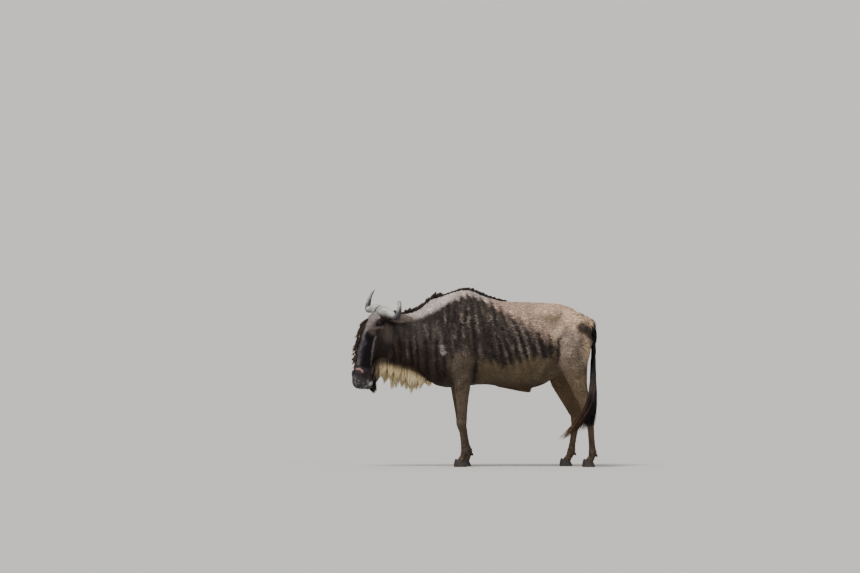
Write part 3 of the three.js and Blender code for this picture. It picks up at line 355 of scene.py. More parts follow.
def skinNet():
    xs, ys, zs = gridLines()
    c = skinMake["coarse"]
    ci = [np.unique(np.append(np.arange(0, len(line), c), len(line) - 1)) for line in (xs, ys, zs)]
    coarse = np.stack(np.meshgrid(xs[ci[0]], ys[ci[1]], zs[ci[2]], indexing="ij"), -1)
    rough = fleshField(coarse.reshape(-1, 3)).reshape(coarse.shape[:3])
    value = np.ones((len(xs), len(ys), len(zs)), np.float32)
    todo = np.zeros(value.shape, bool)
    for i in range(len(ci[0]) - 1):
        for j in range(len(ci[1]) - 1):
            for k in range(len(ci[2]) - 1):
                box = rough[i:i + 2, j:j + 2, k:k + 2]
                place = tuple(slice(ci[n][m], ci[n][m + 1] + 1) for n, m in enumerate((i, j, k)))
                if box.min() < skinMake["near"] and box.max() > -skinMake["near"]:
                    todo[place] = True
                elif box.max() < 0:
                    value[place] = -1
    index = np.argwhere(todo)
    points = np.stack([xs[index[:, 0]], ys[index[:, 1]], zs[index[:, 2]]], 1)
    value[todo] = fleshField(points) + skinMake["depth"]
    inside = value < 0
    corners = [(c & 1, (c >> 1) & 1, (c >> 2) & 1) for c in range(8)]
    shape = np.array(value.shape) - 1
    part = lambda a, corner: a[tuple(slice(at, at + n) for at, n in zip(corner, shape))]
    total = sum(part(inside, corner).astype(np.int8) for corner in corners)
    cells = np.argwhere((total > 0) & (total < 8))
    number = np.full(shape, -1, np.int64)
    number[tuple(cells.T)] = np.arange(len(cells))
    lines = (xs, ys, zs)
    place = lambda corner: np.stack([lines[n][cells[:, n] + corner[n]] for n in range(3)], 1)
    read = lambda corner: value[tuple((cells + np.array(corner)).T)].astype(float)
    summed, count = np.zeros((len(cells), 3)), np.zeros(len(cells))
    for c in range(8):
        for bit in (1, 2, 4):
            if c & bit:
                continue
            va, vb = read(corners[c]), read(corners[c | bit])
            crossed = (va < 0) != (vb < 0)
            t = np.where(crossed, va / np.where(crossed, va - vb, 1), 0)[:, None]
            summed += np.where(crossed[:, None], mix(place(corners[c]), place(corners[c | bit]), t), 0)
            count += crossed
    net = summed / count[:, None]
    faces = []
    for axis in range(3):
        b, d = np.eye(3, dtype=int)[(axis + 1) % 3], np.eye(3, dtype=int)[(axis + 2) % 3]
        step = np.eye(3, dtype=int)[axis]
        span = [slice(1, n - 1) for n in value.shape]
        moved = [slice(1 + step[n], value.shape[n] - 1 + step[n]) for n in range(3)]
        here, there = inside[tuple(span)], inside[tuple(moved)]
        at = np.argwhere(here != there) + 1
        cell = lambda m, n: number[tuple((at - m * b - n * d).T)]
        quad = np.stack([cell(0, 0), cell(1, 0), cell(1, 1), cell(0, 1)], 1)
        flip = ~inside[tuple(at.T)]
        quad[flip] = quad[flip][:, ::-1]
        faces.append(quad)
    faces = np.concatenate(faces)
    return net, faces[(faces >= 0).all(1)]


def settled(points, rounds=2):
    for _ in range(rounds):
        slope = fieldSlope(points)
        steep = np.maximum((slope ** 2).sum(1), 0.2)
        move = -slope * ((fleshField(points) + skinMake["depth"]) / steep)[:, None]
        points = points + clamp(move, -8, 8)
    return points


# Muscles, folds and bones under the skin: x and z of the ends, width, height, on each flank
reliefRows = [
    ((-40, 1190), (-150, 900), 22, 5), ((-70, 830), (-100, 740), 46, 8), ((30, 1010), (0, 660), 26, -8),
    ((-230, 1080), (-180, 900), 26, -5), ((-190, 780), (-200, 690), 40, 7), ((560, 800), (480, 660), 34, 8),
    ((700, 1010), (770, 780), 20, -6), ((640, 960), (670, 800), 40, 6), ((520, 1130), (590, 1100), 34, 8),
    ((600, 1060), (640, 930), 30, -6), ((800, 1010), (815, 900), 22, 6), ((-330, 1100), (-300, 800), 20, -4),
    ((-400, 1080), (-390, 830), 18, 4), ((-460, 1060), (-450, 850), 16, -4),
    ((-520, 1040), (-520, 870), 14, 3), ((95, 700), (330, 640), 30, 5), ((-60, 640), (-120, 590), 28, 6),
    ((745, 640), (800, 500), 12, -5), ((-95, 560), (-92, 420), 12, -3),
]
ribs = {"from": 70, "to": 450, "spacing": 54, "lean": 0.32, "height": 1.7}


def flankRelief(p, normal):
    x, z = p[:, 0], p[:, 2]
    sideways = easeIn(np.abs(normal[:, 1]), 0.2, 0.8)
    out = np.zeros(len(p))
    for (ax, az), (bx, bz), width, height in reliefRows:
        step = np.array([bx - ax, bz - az], float)
        t = clamp(((x - ax) * step[0] + (z - az) * step[1]) / (step @ step))
        gone = np.hypot(x - ax - t * step[0], z - az - t * step[1])
        out += height * np.exp(-(gone / width) ** 2)
    inside = easeIn(x, ribs["from"], ribs["from"] + 60) * (1 - easeIn(x, ribs["to"] - 60, ribs["to"]))
    band = easeIn(z, 640, 760) * (1 - easeIn(z, 960, 1080))
    phase = (x + ribs["lean"] * (z - 850)) / ribs["spacing"] * 2 * pi
    out += ribs["height"] * np.sin(phase) * inside * band
    awayFromHead = easeIn(x, -640, -560)
    return out * sideways * awayFromHead


# Details of the head, each in the head's own directions
eyeMake = {"along": 95, "dorsal": 66, "side": 77, "radius": 19, "long": 23, "high": 10.5, "lid": 4.2}
noseMake = {"rim": [(468, 10), (470, 22), (463, 35), (466, 48), (475, 59)], "deep": 13, "wide": 7.5,
            "fold": 5}
mouthMake = {"rows": [(462, 127), (480, 121), (502, 116), (538, 110), (566, 107)], "deep": 5, "wide": 4.5,
             "lip": 3}
muzzleFolds = {"count": 26, "height": 1.3}


def faceMiddle(a):
    curve = smoothRows(faceRows, 8)
    return np.interp(a, curve[:, 0], curve[:, 1])


def onFace(rows):
    rows = np.array(rows, float)
    angle = np.radians(rows[:, 1])
    starts = inHead(np.stack([rows[:, 0], faceMiddle(rows[:, 0]), rows[:, 0] * 0], 1))
    ways = np.stack([angle * 0, np.cos(angle), np.sin(angle)], 1) @ headDirections
    return reachOut(starts, ways, 200, 8)


def pathDistance(p, path):
    a, step = path[:-1], np.diff(path, axis=0)
    t = clamp(np.einsum("nij,ij->ni", p[:, None] - a[None], step) / (step ** 2).sum(1))
    gone = np.linalg.norm(p[:, None] - a[None] - t[..., None] * step[None], axis=2)
    best = gone.argmin(1)
    return gone[np.arange(len(p)), best], (best + t[np.arange(len(p)), best]) / len(step)


def headRelief(points, normals):
    h = toHead(points)
    out = points.copy()
    close = (h[:, 0] > -30) & (h[:, 0] < 640) & (np.abs(h[:, 2]) < 140) & (h[:, 1] > -60)
    push = np.zeros(len(points))
    # nostrils and the folds over them
    for s in (-1, 1):
        rim = onFace([(a, angle * s) for a, angle in noseMake["rim"]])
        gone, share = pathDistance(points[close], rim)
        ends = easeIn(share, 0, 0.2) * (1 - easeIn(share, 0.75, 1))
        push[close] -= noseMake["deep"] * ends * np.exp(-(gone / noseMake["wide"]) ** 2)
        fold = onFace([(a - 15, (angle + 3) * s) for a, angle in noseMake["rim"]])
        gone, share = pathDistance(points[close], fold)
        push[close] += noseMake["fold"] * np.exp(-(gone / 9) ** 2)
        # the corner and side of the mouth
        line = onFace([(a, angle * s) for a, angle in mouthMake["rows"]])
        gone, share = pathDistance(points[close], line)
        start = easeIn(share, 0, 0.12)
        push[close] -= mouthMake["deep"] * start * np.exp(-(gone / mouthMake["wide"]) ** 2)
        push[close] += mouthMake["lip"] * start * np.exp(-((gone - 11) / 7) ** 2)
    # the mouth round the front of the muzzle
    a, d, side = h.T
    front = easeIn(a, 572, 584) * (1 - easeIn(np.abs(side), 60, 75))
    push -= mouthMake["deep"] * front * np.exp(-((d - 34) / 5.5) ** 2)
    push += mouthMake["lip"] * front * np.exp(-((np.abs(d - 34) - 13) / 8) ** 2)
    # upright folds of the lips and nose
    turn = np.arctan2(side, d - 40)
    lips = easeIn(a, 505, 550) * close
    push += muzzleFolds["height"] * lips * np.sin(turn * muzzleFolds["count"] + 1.5 * np.sin(a / 17))
    # hollow before the eye and the ridge of the cheek
    for s in (-1, 1):
        push -= 5 * close * np.exp(-((a - 150) / 34) ** 2 - ((d - 82) / 22) ** 2) * (side * s > 20)
        push += 4 * close * np.exp(-((a - 190) / 90) ** 2 - ((d - 34) / 12) ** 2) * (side * s > 20)
    out += normals * push[:, None]
    # eye openings with their lids
    h = toHead(out)
    t = (h[:, 0] - eyeMake["along"]) / eyeMake["long"]
    middle = eyeMake["dorsal"] - 5 * t
    u = (h[:, 1] - middle) / (eyeMake["high"] * np.sqrt(clamp(1 - t * t, 0.02, 1)))
    ring = np.hypot(t, u * np.sqrt(clamp(1 - t * t, 0.02, 1)))
    onSide = close & (np.abs(h[:, 2]) > 55)
    depth = np.abs(h[:, 2])
    sphere = np.sqrt(np.maximum(eyeMake["radius"] ** 2 - (h[:, 0] - eyeMake["along"]) ** 2
                                - (h[:, 1] - eyeMake["dorsal"]) ** 2, 0)) + eyeMake["side"]
    opening = onSide & (ring < 1)
    lid = onSide & (ring >= 1) & (ring < 2.1)
    target = np.where(opening, sphere - 10, depth)
    over = sphere + eyeMake["lid"] * np.exp(-((ring - 1.15) / 0.3) ** 2)
    target = np.where(lid, np.maximum(depth, mix(over, depth, easeIn(ring, 1.2, 2.1))), target)
    h[:, 2] = np.where(opening | lid, np.sign(h[:, 2]) * target, h[:, 2])
    return np.where((opening | lid)[:, None], inHead(h), out)


def vertexNormals(points, quads):
    a, b, c, d = (points[quads[:, i]] for i in range(4))
    normal = np.cross(c - a, d - b)
    out = np.zeros_like(points)
    for i in range(4):
        for axis in range(3):
            out[:, axis] += np.bincount(quads[:, i], normal[:, axis], len(points))
    return unit(out)


# The lie of the coat: backwards over the body, down the legs, down the face
def coatFlow(points, normals):
    h = toHead(points)
    n = len(points)
    flow = np.tile(np.array([1.0, 0, -0.22]), (n, 1))
    neckShare = (1 - easeIn(points[:, 0], -420, -180))[:, None]
    flow = mix(flow, np.array([0.75, 0, -0.65]), neckShare)
    x, z = points[:, 0], points[:, 2]
    legShare = (1 - easeIn(z, 520, 860)) * np.where((x > -260) & (x < 60), 1, 0)
    legShare = np.maximum(legShare, (1 - easeIn(z, 560, 1020)) * easeIn(x, 520, 640))
    flow = mix(flow, np.array([0.12, 0, -1.0]), clamp(legShare)[:, None])
    headShare = easeIn(h[:, 0], -10, 60) * (x < -480) * (1 - easeIn(-h[:, 1], 20, 120))
    flow = mix(flow, headDirections[0], headShare[:, None])
    flow -= rowDot(flow, normals)[:, None] * normals
    return unit(flow)


# Tapered strands of three sides. Paths are (strands, points, 3); the flat side faces each strand's normal
def strandArrays(paths, widths, facing, thick=0.4, root=0.7):
    n, k = paths.shape[:2]
    tangent = unit(np.gradient(paths, axis=1))
    flatWay = facing[:, None] - (tangent * facing[:, None]).sum(2, keepdims=True) * tangent
    flatWay = unit(flatWay)
    sideWay = np.cross(tangent, flatWay)
    t = np.linspace(0, 1, k)
    profile = np.where(t < 0.35, mix(root, 1, t / 0.35), np.sqrt(np.maximum(1 - ((t - 0.35) / 0.65) ** 2, 0)))
    half = widths[:, None, None] * profile[None, :, None] / 2
    rings = np.stack([paths + sideWay * half, paths + flatWay * half * thick * 2, paths - sideWay * half], 2)
    points = np.concatenate([rings[:, :-1].reshape(n, -1, 3), paths[:, -1:]], 1)
    size = 3 * (k - 1) + 1
    faces = []
    for i in range(k - 2):
        for j in range(3):
            a, b = 3 * i + j, 3 * i + (j + 1) % 3
            faces += [(a, a + 3, b + 3), (a, b + 3, b)]
    for j in range(3):
        faces.append((3 * (k - 2) + j, size - 1, 3 * (k - 2) + (j + 1) % 3))
    faces = np.array(faces)[None] + np.arange(n)[:, None, None] * size
    ringAt = np.append(np.repeat(np.arange(k - 1), 3), k - 1)
    around = np.append(np.tile([0, 1, 2], k - 1), 1)
    reach = ringAt / (k - 1)
    return points.reshape(-1, 3), faces.reshape(-1, 3), np.tile(reach, n), np.tile(around / 2, n), size


patchSize = 0.003


# colors gives one colour for each point of each path, marks one value for each strand
def makeStrands(name, paths, widths, facing, material, rootUv, draw, thick=0.4, root=0.7, colors=None,
                marks=None):
    points, faces, reach, around, size = strandArrays(paths, widths, facing, thick, root)
    n = len(paths)
    corner = np.stack([around - 0.5, reach - 0.5], 1) * patchSize
    uv = np.repeat(rootUv, size, 0) + corner
    extra = {"tone": np.repeat(draw.random(n), size), "reach": reach}
    extra.update({key: np.repeat(values, size, 0) for key, values in (marks or {}).items()})
    if colors is not None:
        ringColors = np.repeat(colors[:, :-1], 3, axis=1)
        extra["hairColor"] = np.concatenate([ringColors, colors[:, -1:]], 1).reshape(-1, 3)
    made = makeMesh(name, toRow(points), faces, material, uv, extra)
    print(name, n, "strands", len(faces), "triangles")
    return made


# Shader maths: a wire is one socket of a material, and sums on it add nodes
class Wire:
    def __init__(self, tree, socket=None):
        self.tree, self.socket = tree, socket

    def node(self, kind, settings=None, values=None, out=0):
        made = self.tree.nodes.new(kind)
        for name, value in (settings or {}).items():
            setattr(made, name, value)
        for key, value in (values or {}).items():
            if isinstance(value, Wire):
                self.tree.links.new(value.socket, made.inputs[key])
            else:
                made.inputs[key].default_value = value
        return Wire(self.tree, made.outputs[out])

    def maths(self, operation, *terms):
        return self.node("ShaderNodeMath", {"operation": operation}, dict(enumerate(terms)))

    def __add__(self, other):
        return self.maths("ADD", self, other)

    def __mul__(self, other):
        return self.maths("MULTIPLY", self, other)

    def __sub__(self, other):
        return self.maths("SUBTRACT", self, other)

    def __rsub__(self, other):
        return self.maths("SUBTRACT", other, self)

    def __truediv__(self, other):
        return self.maths("DIVIDE", self, other)

    __radd__, __rmul__ = __add__, __mul__

    def ease(self, low, high, start=0.0, end=1.0):
        kind = {"interpolation_type": "SMOOTHSTEP"}
        ends = {"Value": self, "From Min": low, "From Max": high, "To Min": start, "To Max": end}
        return self.node("ShaderNodeMapRange", kind, ends)

    def color(self, first, second):
        kind = {"data_type": "RGBA", "clamp_factor": True}
        pick = lambda c: c if isinstance(c, Wire) else (*c, 1)
        return self.node("ShaderNodeMix", kind, {0: self, 6: pick(first), 7: pick(second)}, 2)

    def split(self):
        apart = self.node("ShaderNodeSeparateXYZ", None, {0: self})
        return [Wire(self.tree, apart.socket.node.outputs[n]) for n in range(3)]

    def stretched(self, x, y, z):
        return self.node("ShaderNodeVectorMath", {"operation": "MULTIPLY"}, {0: self, 1: (x, y, z)})

    def noise(self, scale, detail=3.0, rough=0.55, warp=0.0):
        sizes = {"Vector": self, "Scale": scale, "Detail": detail, "Roughness": rough, "Distortion": warp}
        return self.node("ShaderNodeTexNoise", None, sizes)

    def attribute(self, name, out=2):
        return self.node("ShaderNodeAttribute", {"attribute_name": name}, None, out)


# build gives what changes over the surface, the other two are the same all over it
def newMaterial(name, build, roughness, shine):
    material = bpy.data.materials.new(name)
    material.use_nodes = True
    tree = material.node_tree
    shader = next(n for n in tree.nodes if n.type == "BSDF_PRINCIPLED")
    shader.inputs["Roughness"].default_value = roughness
    shader.inputs["Specular IOR Level"].default_value = shine
    start = Wire(tree)
    place = start.node("ShaderNodeTexCoord", None, None, 3)
    for key, value in build(start, place).items():
        if key == "bump":
            height, strength, distance = value
            bump = {"Height": height, "Strength": strength, "Distance": distance}
            key, value = "Normal", start.node("ShaderNodeBump", None, bump)
        tree.links.new(value.socket, shader.inputs[key])
    return material


# Colours of the coat, as light reflected from it
coatLook = {
    "flank": (0.040, 0.030, 0.024), "crest": (0.60, 0.52, 0.490), "hump": (0.58, 0.48, 0.430),
    "back": (0.41, 0.285, 0.220), "rump": (0.55, 0.390, 0.270), "shoulder": (0.105, 0.078, 0.056),
    # the colour for the underside on the next line is painted shade
    "belly": (0.120, 0.087, 0.054), "under": (0.075, 0.048, 0.027), "thigh": (0.190, 0.142, 0.108),
    # the fold colour at the end of the next line is painted shade in creases
    "thighLight": (0.32, 0.240, 0.195), "thighDark": (0.052, 0.035, 0.026), "fold": (0.018, 0.013, 0.011),
    # the far shank colour at the end of the next line is painted shade
    "shank": (0.165, 0.118, 0.074), "buttock": (0.26, 0.190, 0.13), "farShankShade": (0.105, 0.068, 0.034),
    "foreleg": (0.112, 0.082, 0.056), "foot": (0.072, 0.050, 0.034), "neck": (0.070, 0.056, 0.050),
    # the throat colour at the start of the next line is painted shade
    "throat": (0.042, 0.029, 0.019), "scar": (0.33, 0.30, 0.27), "black": (0.012, 0.008, 0.008),
    # the purplish colour at the end of the next line is painted sheen on the black face
    "streak": (0.20, 0.155, 0.130), "face": (0.008, 0.005, 0.008), "paintedSheen": (0.050, 0.038, 0.054),
    # the two ridge colours below are partly the ridge's own tan and partly painted light
    "ridge": (0.22, 0.190, 0.185), "ridgeLow": (0.070, 0.054, 0.066), "temple": (0.15, 0.120, 0.112),
    "lidFold": (0.16, 0.130, 0.120), "loin": (0.27, 0.190, 0.145),
    # the cheek colour on the next line is partly the cheek's own brown and partly painted light
    "patch": (0.090, 0.066, 0.056), "cheek": (0.072, 0.054, 0.046), "jaw": (0.018, 0.013, 0.011),
    # the first colour on the next line is a painted highlight on the edge of the jaw
    "jawEdgeHighlight": (0.140, 0.130, 0.115), "nose": (0.030, 0.022, 0.026), "rim": (0.42, 0.235, 0.220),
    "lip": (0.040, 0.036, 0.036), "lipLight": (0.42, 0.42, 0.41), "roughness": 0.7, "shine": 0.15,
}

# The top line of the body, and how far the pale band reaches below it
topLine = [(-600, 1114), (-470, 1128), (-400, 1150), (-320, 1192), (-240, 1238), (-160, 1272), (-80, 1289),
           (0, 1274), (80, 1240), (150, 1215), (214, 1204), (430, 1200), (625, 1190), (700, 1170),
           (755, 1142), (822, 1092)]
paleBand = [(-600, 48), (-520, 60), (-400, 66), (-275, 76), (-200, 70), (-100, 48), (25, 34), (100, 40),
            (187, 70), (300, 134), (400, 205), (525, 262), (620, 300), (822, 340)]
darkEnd = [(-200, 838), (-60, 826), (20, 765), (160, 742), (275, 752), (337, 782), (500, 800), (560, 840)]

# Markings painted one over another on both flanks: places as x and z, half width, softness, colour, share
bodyMarks = [
    ([(-600, 985), (-480, 972), (-330, 950)], 100, 34, "neck", 1),
    # painted shade under the jaw along the underside of the neck, and on the next line in front of the
    # foreleg
    ([(-640, 850), (-560, 815), (-430, 780), (-310, 720)], 84, 46, "throat", 0.9),
    ([(-110, 745), (-95, 590)], 104, 34, "shoulder", 1), ([(-235, 690), (-190, 610)], 56, 30, "throat", 0.75),
    # the first mark on the next line is painted shade in the crease behind the elbow
    ([(10, 760), (-5, 640)], 20, 18, "fold", 0.5), ([(575, 1060), (640, 960)], 46, 40, "thighLight", 0.45),
    ([(700, 900), (700, 760)], 104, 34, "thigh", 1),
    ([(560, 1120), (700, 1095), (775, 1050)], 84, 46, "rump", 1),
    ([(694, 950), (662, 850)], 40, 28, "thighLight", 0.85),
    ([(762, 1006), (832, 966)], 42, 18, "thighDark", 1),
    ([(740, 880), (760, 760)], 30, 26, "thighDark", 0.30),
    # painted shade in the creases in front of the thigh, here and at the start of the next line
    ([(614, 930), (602, 850), (584, 760)], 11, 10, "fold", 0.85),
    ([(640, 1010), (625, 930)], 13, 14, "fold", 0.35), ([(430, 1070), (590, 1050)], 46, 42, "loin", 0.7),
]
# Upright dark folds and the pale streaks between them: places as x and z, half width
darkFolds = [
    ([(-194, 1185), (-202, 945)], 12), ([(-156, 1140), (-162, 955)], 9), ([(-132, 1125), (-120, 860)], 8),
    ([(-72, 1165), (-68, 1055)], 10), ([(-25, 1060), (-12, 855)], 12),
    ([(19, 960), (12, 770), (-8, 616)], 12), ([(50, 1104), (69, 940)], 9),
    ([(88, 1060), (110, 870), (142, 760)], 12), ([(131, 1080), (160, 955), (183, 805), (202, 704)], 13),
    ([(188, 1045), (225, 855), (258, 754)], 13), ([(252, 985), (288, 860), (296, 779)], 12),
    ([(310, 985), (344, 891), (365, 791)], 12), ([(372, 985), (413, 904), (433, 800)], 13),
    ([(446, 985), (481, 891), (502, 800)], 13), ([(522, 985), (544, 891), (542, 790)], 12),
    ([(594, 950), (603, 779)], 8), ([(-550, 940), (-538, 766)], 10), ([(-475, 915), (-456, 745)], 10),
    ([(-425, 905), (-404, 675)], 10), ([(-363, 940), (-343, 641)], 12), ([(-294, 916), (-268, 616)], 12),
    ([(-225, 980), (-225, 655)], 9), ([(-169, 940), (-175, 780)], 8), ([(-330, 1000), (-322, 900)], 7),
    ([(-590, 900), (-585, 790)], 9),
]
paleStreaks = [
    ([(-221, 1130), (-220, 1016)], 5), ([(-157, 1040), (-148, 915)], 5), ([(-113, 1110), (-86, 940)], 6),
    ([(-56, 1170), (-47, 1010)], 6), ([(-100, 895), (-72, 775)], 7), ([(-8, 1110), (26, 975)], 6),
    ([(74, 1130), (100, 975)], 6), ([(106, 1110), (150, 945), (169, 825)], 6),
    ([(150, 1120), (206, 930), (225, 800)], 6), ([(200, 1120), (263, 955), (276, 825)], 6),
    ([(244, 1080), (313, 915), (326, 810)], 6), ([(322, 1035), (382, 880), (392, 800)], 6),
    ([(398, 1010), (450, 870), (458, 800)], 6), ([(472, 1010), (520, 880)], 6),
    ([(-375, 1045), (-344, 935)], 5), ([(-294, 1070), (-276, 945)], 5), ([(-505, 950), (-495, 800)], 5),
    ([(-440, 960), (-435, 850)], 4), ([(-255, 1000), (-250, 900)], 5), ([(-60, 900), (-45, 800)], 6),
]
# The same on both sides of the head: places as along and dorsal
headMarks = [
    ([(40, 100), (80, 112), (108, 118)], 34, 16, "temple", 1),
    # the cheek: partly its own brown, partly painted light on its bulge
    ([(60, 10), (130, 0), (176, -16)], 40, 34, "cheek", 1),
    ([(215, 106), (320, 112), (450, 100)], 50, 15, "face", 1), ([(184, 128), (200, 96)], 18, 10, "face", 1),
    ([(152, 116), (172, 92)], 20, 12, "patch", 1),
    ([(122, 40), (126, 62), (138, 88), (140, 124)], 11, 7, "lidFold", 0.95),
    # painted sheen: purplish reflections on the black face
    ([(244, 138), (262, 130), (280, 138)], 12, 10, "paintedSheen", 0.9),
    ([(300, 146), (400, 138)], 14, 14, "paintedSheen", 0.55),
    # painted shadow: a black band under the horn, from behind the eye back to the root of the ear; then black
    # round the eye
    ([(78, 44), (72, 0), (80, -60)], 17, 10, "black", 0.9), ([(95, 66), (96, 66)], 27, 8, "black", 0.95),
    # painted highlight: a pale line down the edge of the jaw, where its hair catches the light
    ([(196, 66), (300, 66), (390, 46), (480, 0)], 6, 6, "jawEdgeHighlight", 0.75),
]
lipMake = {"start": 500, "full": 530, "whiteSpot": [(536, 14), (545, 30)]}


# A slow uneven drift, so that no marking has a ruled edge
def drift(p, size, seed):
    draw = np.random.default_rng(seed)
    out = np.zeros(len(p))
    for turn in draw.normal(0, 1, (5, 3)):
        out += np.sin(p @ turn / size + draw.uniform(0, 6))
    return out / 5


def lineDistance(u, v, line):
    line = np.array(line, float)
    out = np.full(len(u), 1e9)
    for (au, av), (bu, bv) in zip(line[:-1], line[1:]):
        su, sv = bu - au, bv - av
        t = clamp(((u - au) * su + (v - av) * sv) / (su * su + sv * sv))
        out = np.minimum(out, np.hypot(u - au - t * su, v - av - t * sv))
    return out


def painted(color, u, v, marks):
    for line, width, soft, name, share in marks:
        seen = (1 - easeIn(lineDistance(u, v, line), width - soft, width + soft)) * share
        color = mix(color, np.array(coatLook[name]), seen[:, None])
    return color


def table(rows, x):
    return np.interp(x, *np.array(rows, float).T)


# The colour of each place, how strongly it is banded and how much of it is lip
def coatMarks(p):
    tint = lambda name: np.array(coatLook[name])
    x = p[:, 0] + drift(p, 34, 1) * 22
    z = p[:, 2] + drift(p, 30, 2) * 18
    over = lambda color, name, share: mix(color, tint(name), np.asarray(share)[:, None])
    color = np.tile(tint("flank"), (len(p), 1))
    below = table(topLine, p[:, 0]) - p[:, 2]
    finger = np.sin((x + 0.3 * (z - 1000)) / 8.5) * 20 + drift(p, 16, 3) * 26
    edge = table(paleBand, x)
    spread = 22 + easeIn(x, 60, 420) * 46
    pale = np.tile(tint("crest"), (len(p), 1))
    for name, start, end in (("hump", -330, -180), ("back", 20, 180), ("rump", 430, 640)):
        pale = over(pale, name, easeIn(x, start, end))
    seen = 1 - easeIn(below + finger * easeIn(x, -330, 0) * 0.8, edge - spread, edge + spread)
    color = mix(color, pale, seen[:, None])
    lower = easeIn(table(darkEnd, x) - z + finger * 0.9, -34, 30)
    lower = lower * easeIn(x, -60, 10) * (1 - easeIn(x, 640, 700))
    color = over(color, "belly", lower)
    # painted shade: the underside of the belly darker towards the bottom
    color = over(color, "under", lower * (1 - easeIn(p[:, 2], 575, 645)))
    rear = easeIn(p[:, 0], 800, 850) * easeIn(z, 640, 760) * (1 - easeIn(z, 930, 1000))
    color = over(color, "buttock", rear)
    color = painted(color, x, z, bodyMarks)
    sway = np.stack([p[:, 0] + drift(p, 13, 8) * 14, z], 1)
    for rows, name, share in ((paleStreaks, "streak", 0.7), (darkFolds, "black", 0.85)):
        for line, width in rows:
            near = lineDistance(*sway.T, line)
            foot, top = line[-1][1], line[0][1]
            ends = easeIn(z, foot - 25, foot + 30) * (1 - easeIn(z, top - 30, top + 25))
            color = over(color, name, (1 - easeIn(near, width * 0.35, width * 1.7)) * ends * share)
    behind, right = easeIn(x, 480, 560), easeIn(p[:, 1], -20, 20)
    color = over(color, "shank", behind * (1 - easeIn(z, 640, 760)))
    # painted shade: the lower far hind leg darker than the near one
    color = over(color, "farShankShade", behind * (1 - easeIn(z, 620, 720)) * right * 0.6)
    ahead = 1 - easeIn(x, 60, 120)
    color = over(color, "foreleg", ahead * (1 - easeIn(z, 540, 640)))
    color = over(color, "foot", 1 - easeIn(z, 60, 420) * 0.75 - easeIn(z, 420, 520) * 0.25)
    scarPlace = lineDistance(x, z, [(-252, 880), (-236, 834)]) + drift(p, 5, 5) * 26
    color = over(color, "scar", (1 - easeIn(scarPlace, 2, 24)) * (p[:, 1] < 0) * 0.8)
    banding = easeIn(x, -330, -270) * (1 - easeIn(x, 500, 590)) * (1 - easeIn(lower, 0.2, 0.8))
    banding *= easeIn(below - finger, edge - spread * 1.1, edge + spread * 0.5)
    banding *= 1 - 0.75 * (1 - easeIn(z, 800, 880)) * (1 - easeIn(x, -60, 20))
    neckBands = (1 - easeIn(x, -330, -270)) * easeIn(below, edge, edge + 60) * 0.45
    # the head
    h = toHead(p)
    a, d = h[:, 0] + drift(p, 9, 6) * 5, h[:, 1] + drift(p, 8, 7) * 5
    onHead = (1 - easeIn(p[:, 0], -560, -500)) * easeIn(a, -22, 16) * easeIn(d, -70, -35)
    curve = smoothRows(faceRows, 8)
    front = np.interp(h[:, 0], curve[:, 0], curve[:, 1] + curve[:, 4])
    head = np.tile(tint("jaw"), (len(p), 1))
    head = painted(head, a, d, headMarks)
    # the ridge down the front of the face: partly its own tan, partly painted light where light falls on it,
    # darker and purplish lower down
    litRidge = easeIn(h[:, 1] - front + drift(p, 11, 9) * 8, -30, -6) * (1 - easeIn(a, 400, 452))
    head = over(head, "ridge", litRidge * 0.9)
    head = over(head, "ridgeLow", litRidge * easeIn(a, 170, 270) * (1 - easeIn(a, 350, 410) * 0.5))
    head = over(head, "nose", easeIn(a, 418, 455) * easeIn(d, 20, 60))
    lips = easeIn(a, lipMake["start"], lipMake["full"])
    head = over(head, "lip", lips)
    white = 1 - easeIn(lineDistance(a, d, lipMake["whiteSpot"]), 7, 17)
    head = over(head, "lipLight", white * 0.9)
    near = (h[:, 0] > 400) & (np.abs(h[:, 2]) < 120) & (h[:, 1] > 20)
    if near.any():
        for s in (-1, 1):
            rim = onFace([(a - 11, (angle + 3) * s) for a, angle in noseMake["rim"]])
            gone, _ = pathDistance(p[near], rim)
            head[near] = mix(head[near], tint("rim"), (1 - easeIn(gone, 5, 11))[:, None] * 0.95)
            # painted shade: near black inside the nostril openings
            nostrilShade = onFace([(a, angle * s) for a, angle in noseMake["rim"]])
            gone, _ = pathDistance(p[near], nostrilShade)
            head[near] = mix(head[near], tint("black") * 0.5, (1 - easeIn(gone, 3, 8))[:, None])
    color = mix(color, head, onHead[:, None])
    banding = mix(np.maximum(banding, neckBands), 0, onHead)
    return {"coatColor": color, "banding": banding, "lips": lips * onHead}


headStart, headAlong, headDorsal, headSide = toRow(poll), *headDirections


# Distances along the head's own directions, worked out from a place
def headPlaces(start, place):
    kind = "ShaderNodeVectorMath"
    moved = start.node(kind, {"operation": "SUBTRACT"}, {0: place, 1: tuple(headStart)})
    dot = lambda way: start.node(kind, {"operation": "DOT_PRODUCT"}, {0: moved, 1: tuple(way)}, 1)
    return dot(headAlong), dot(headDorsal), dot(headSide)


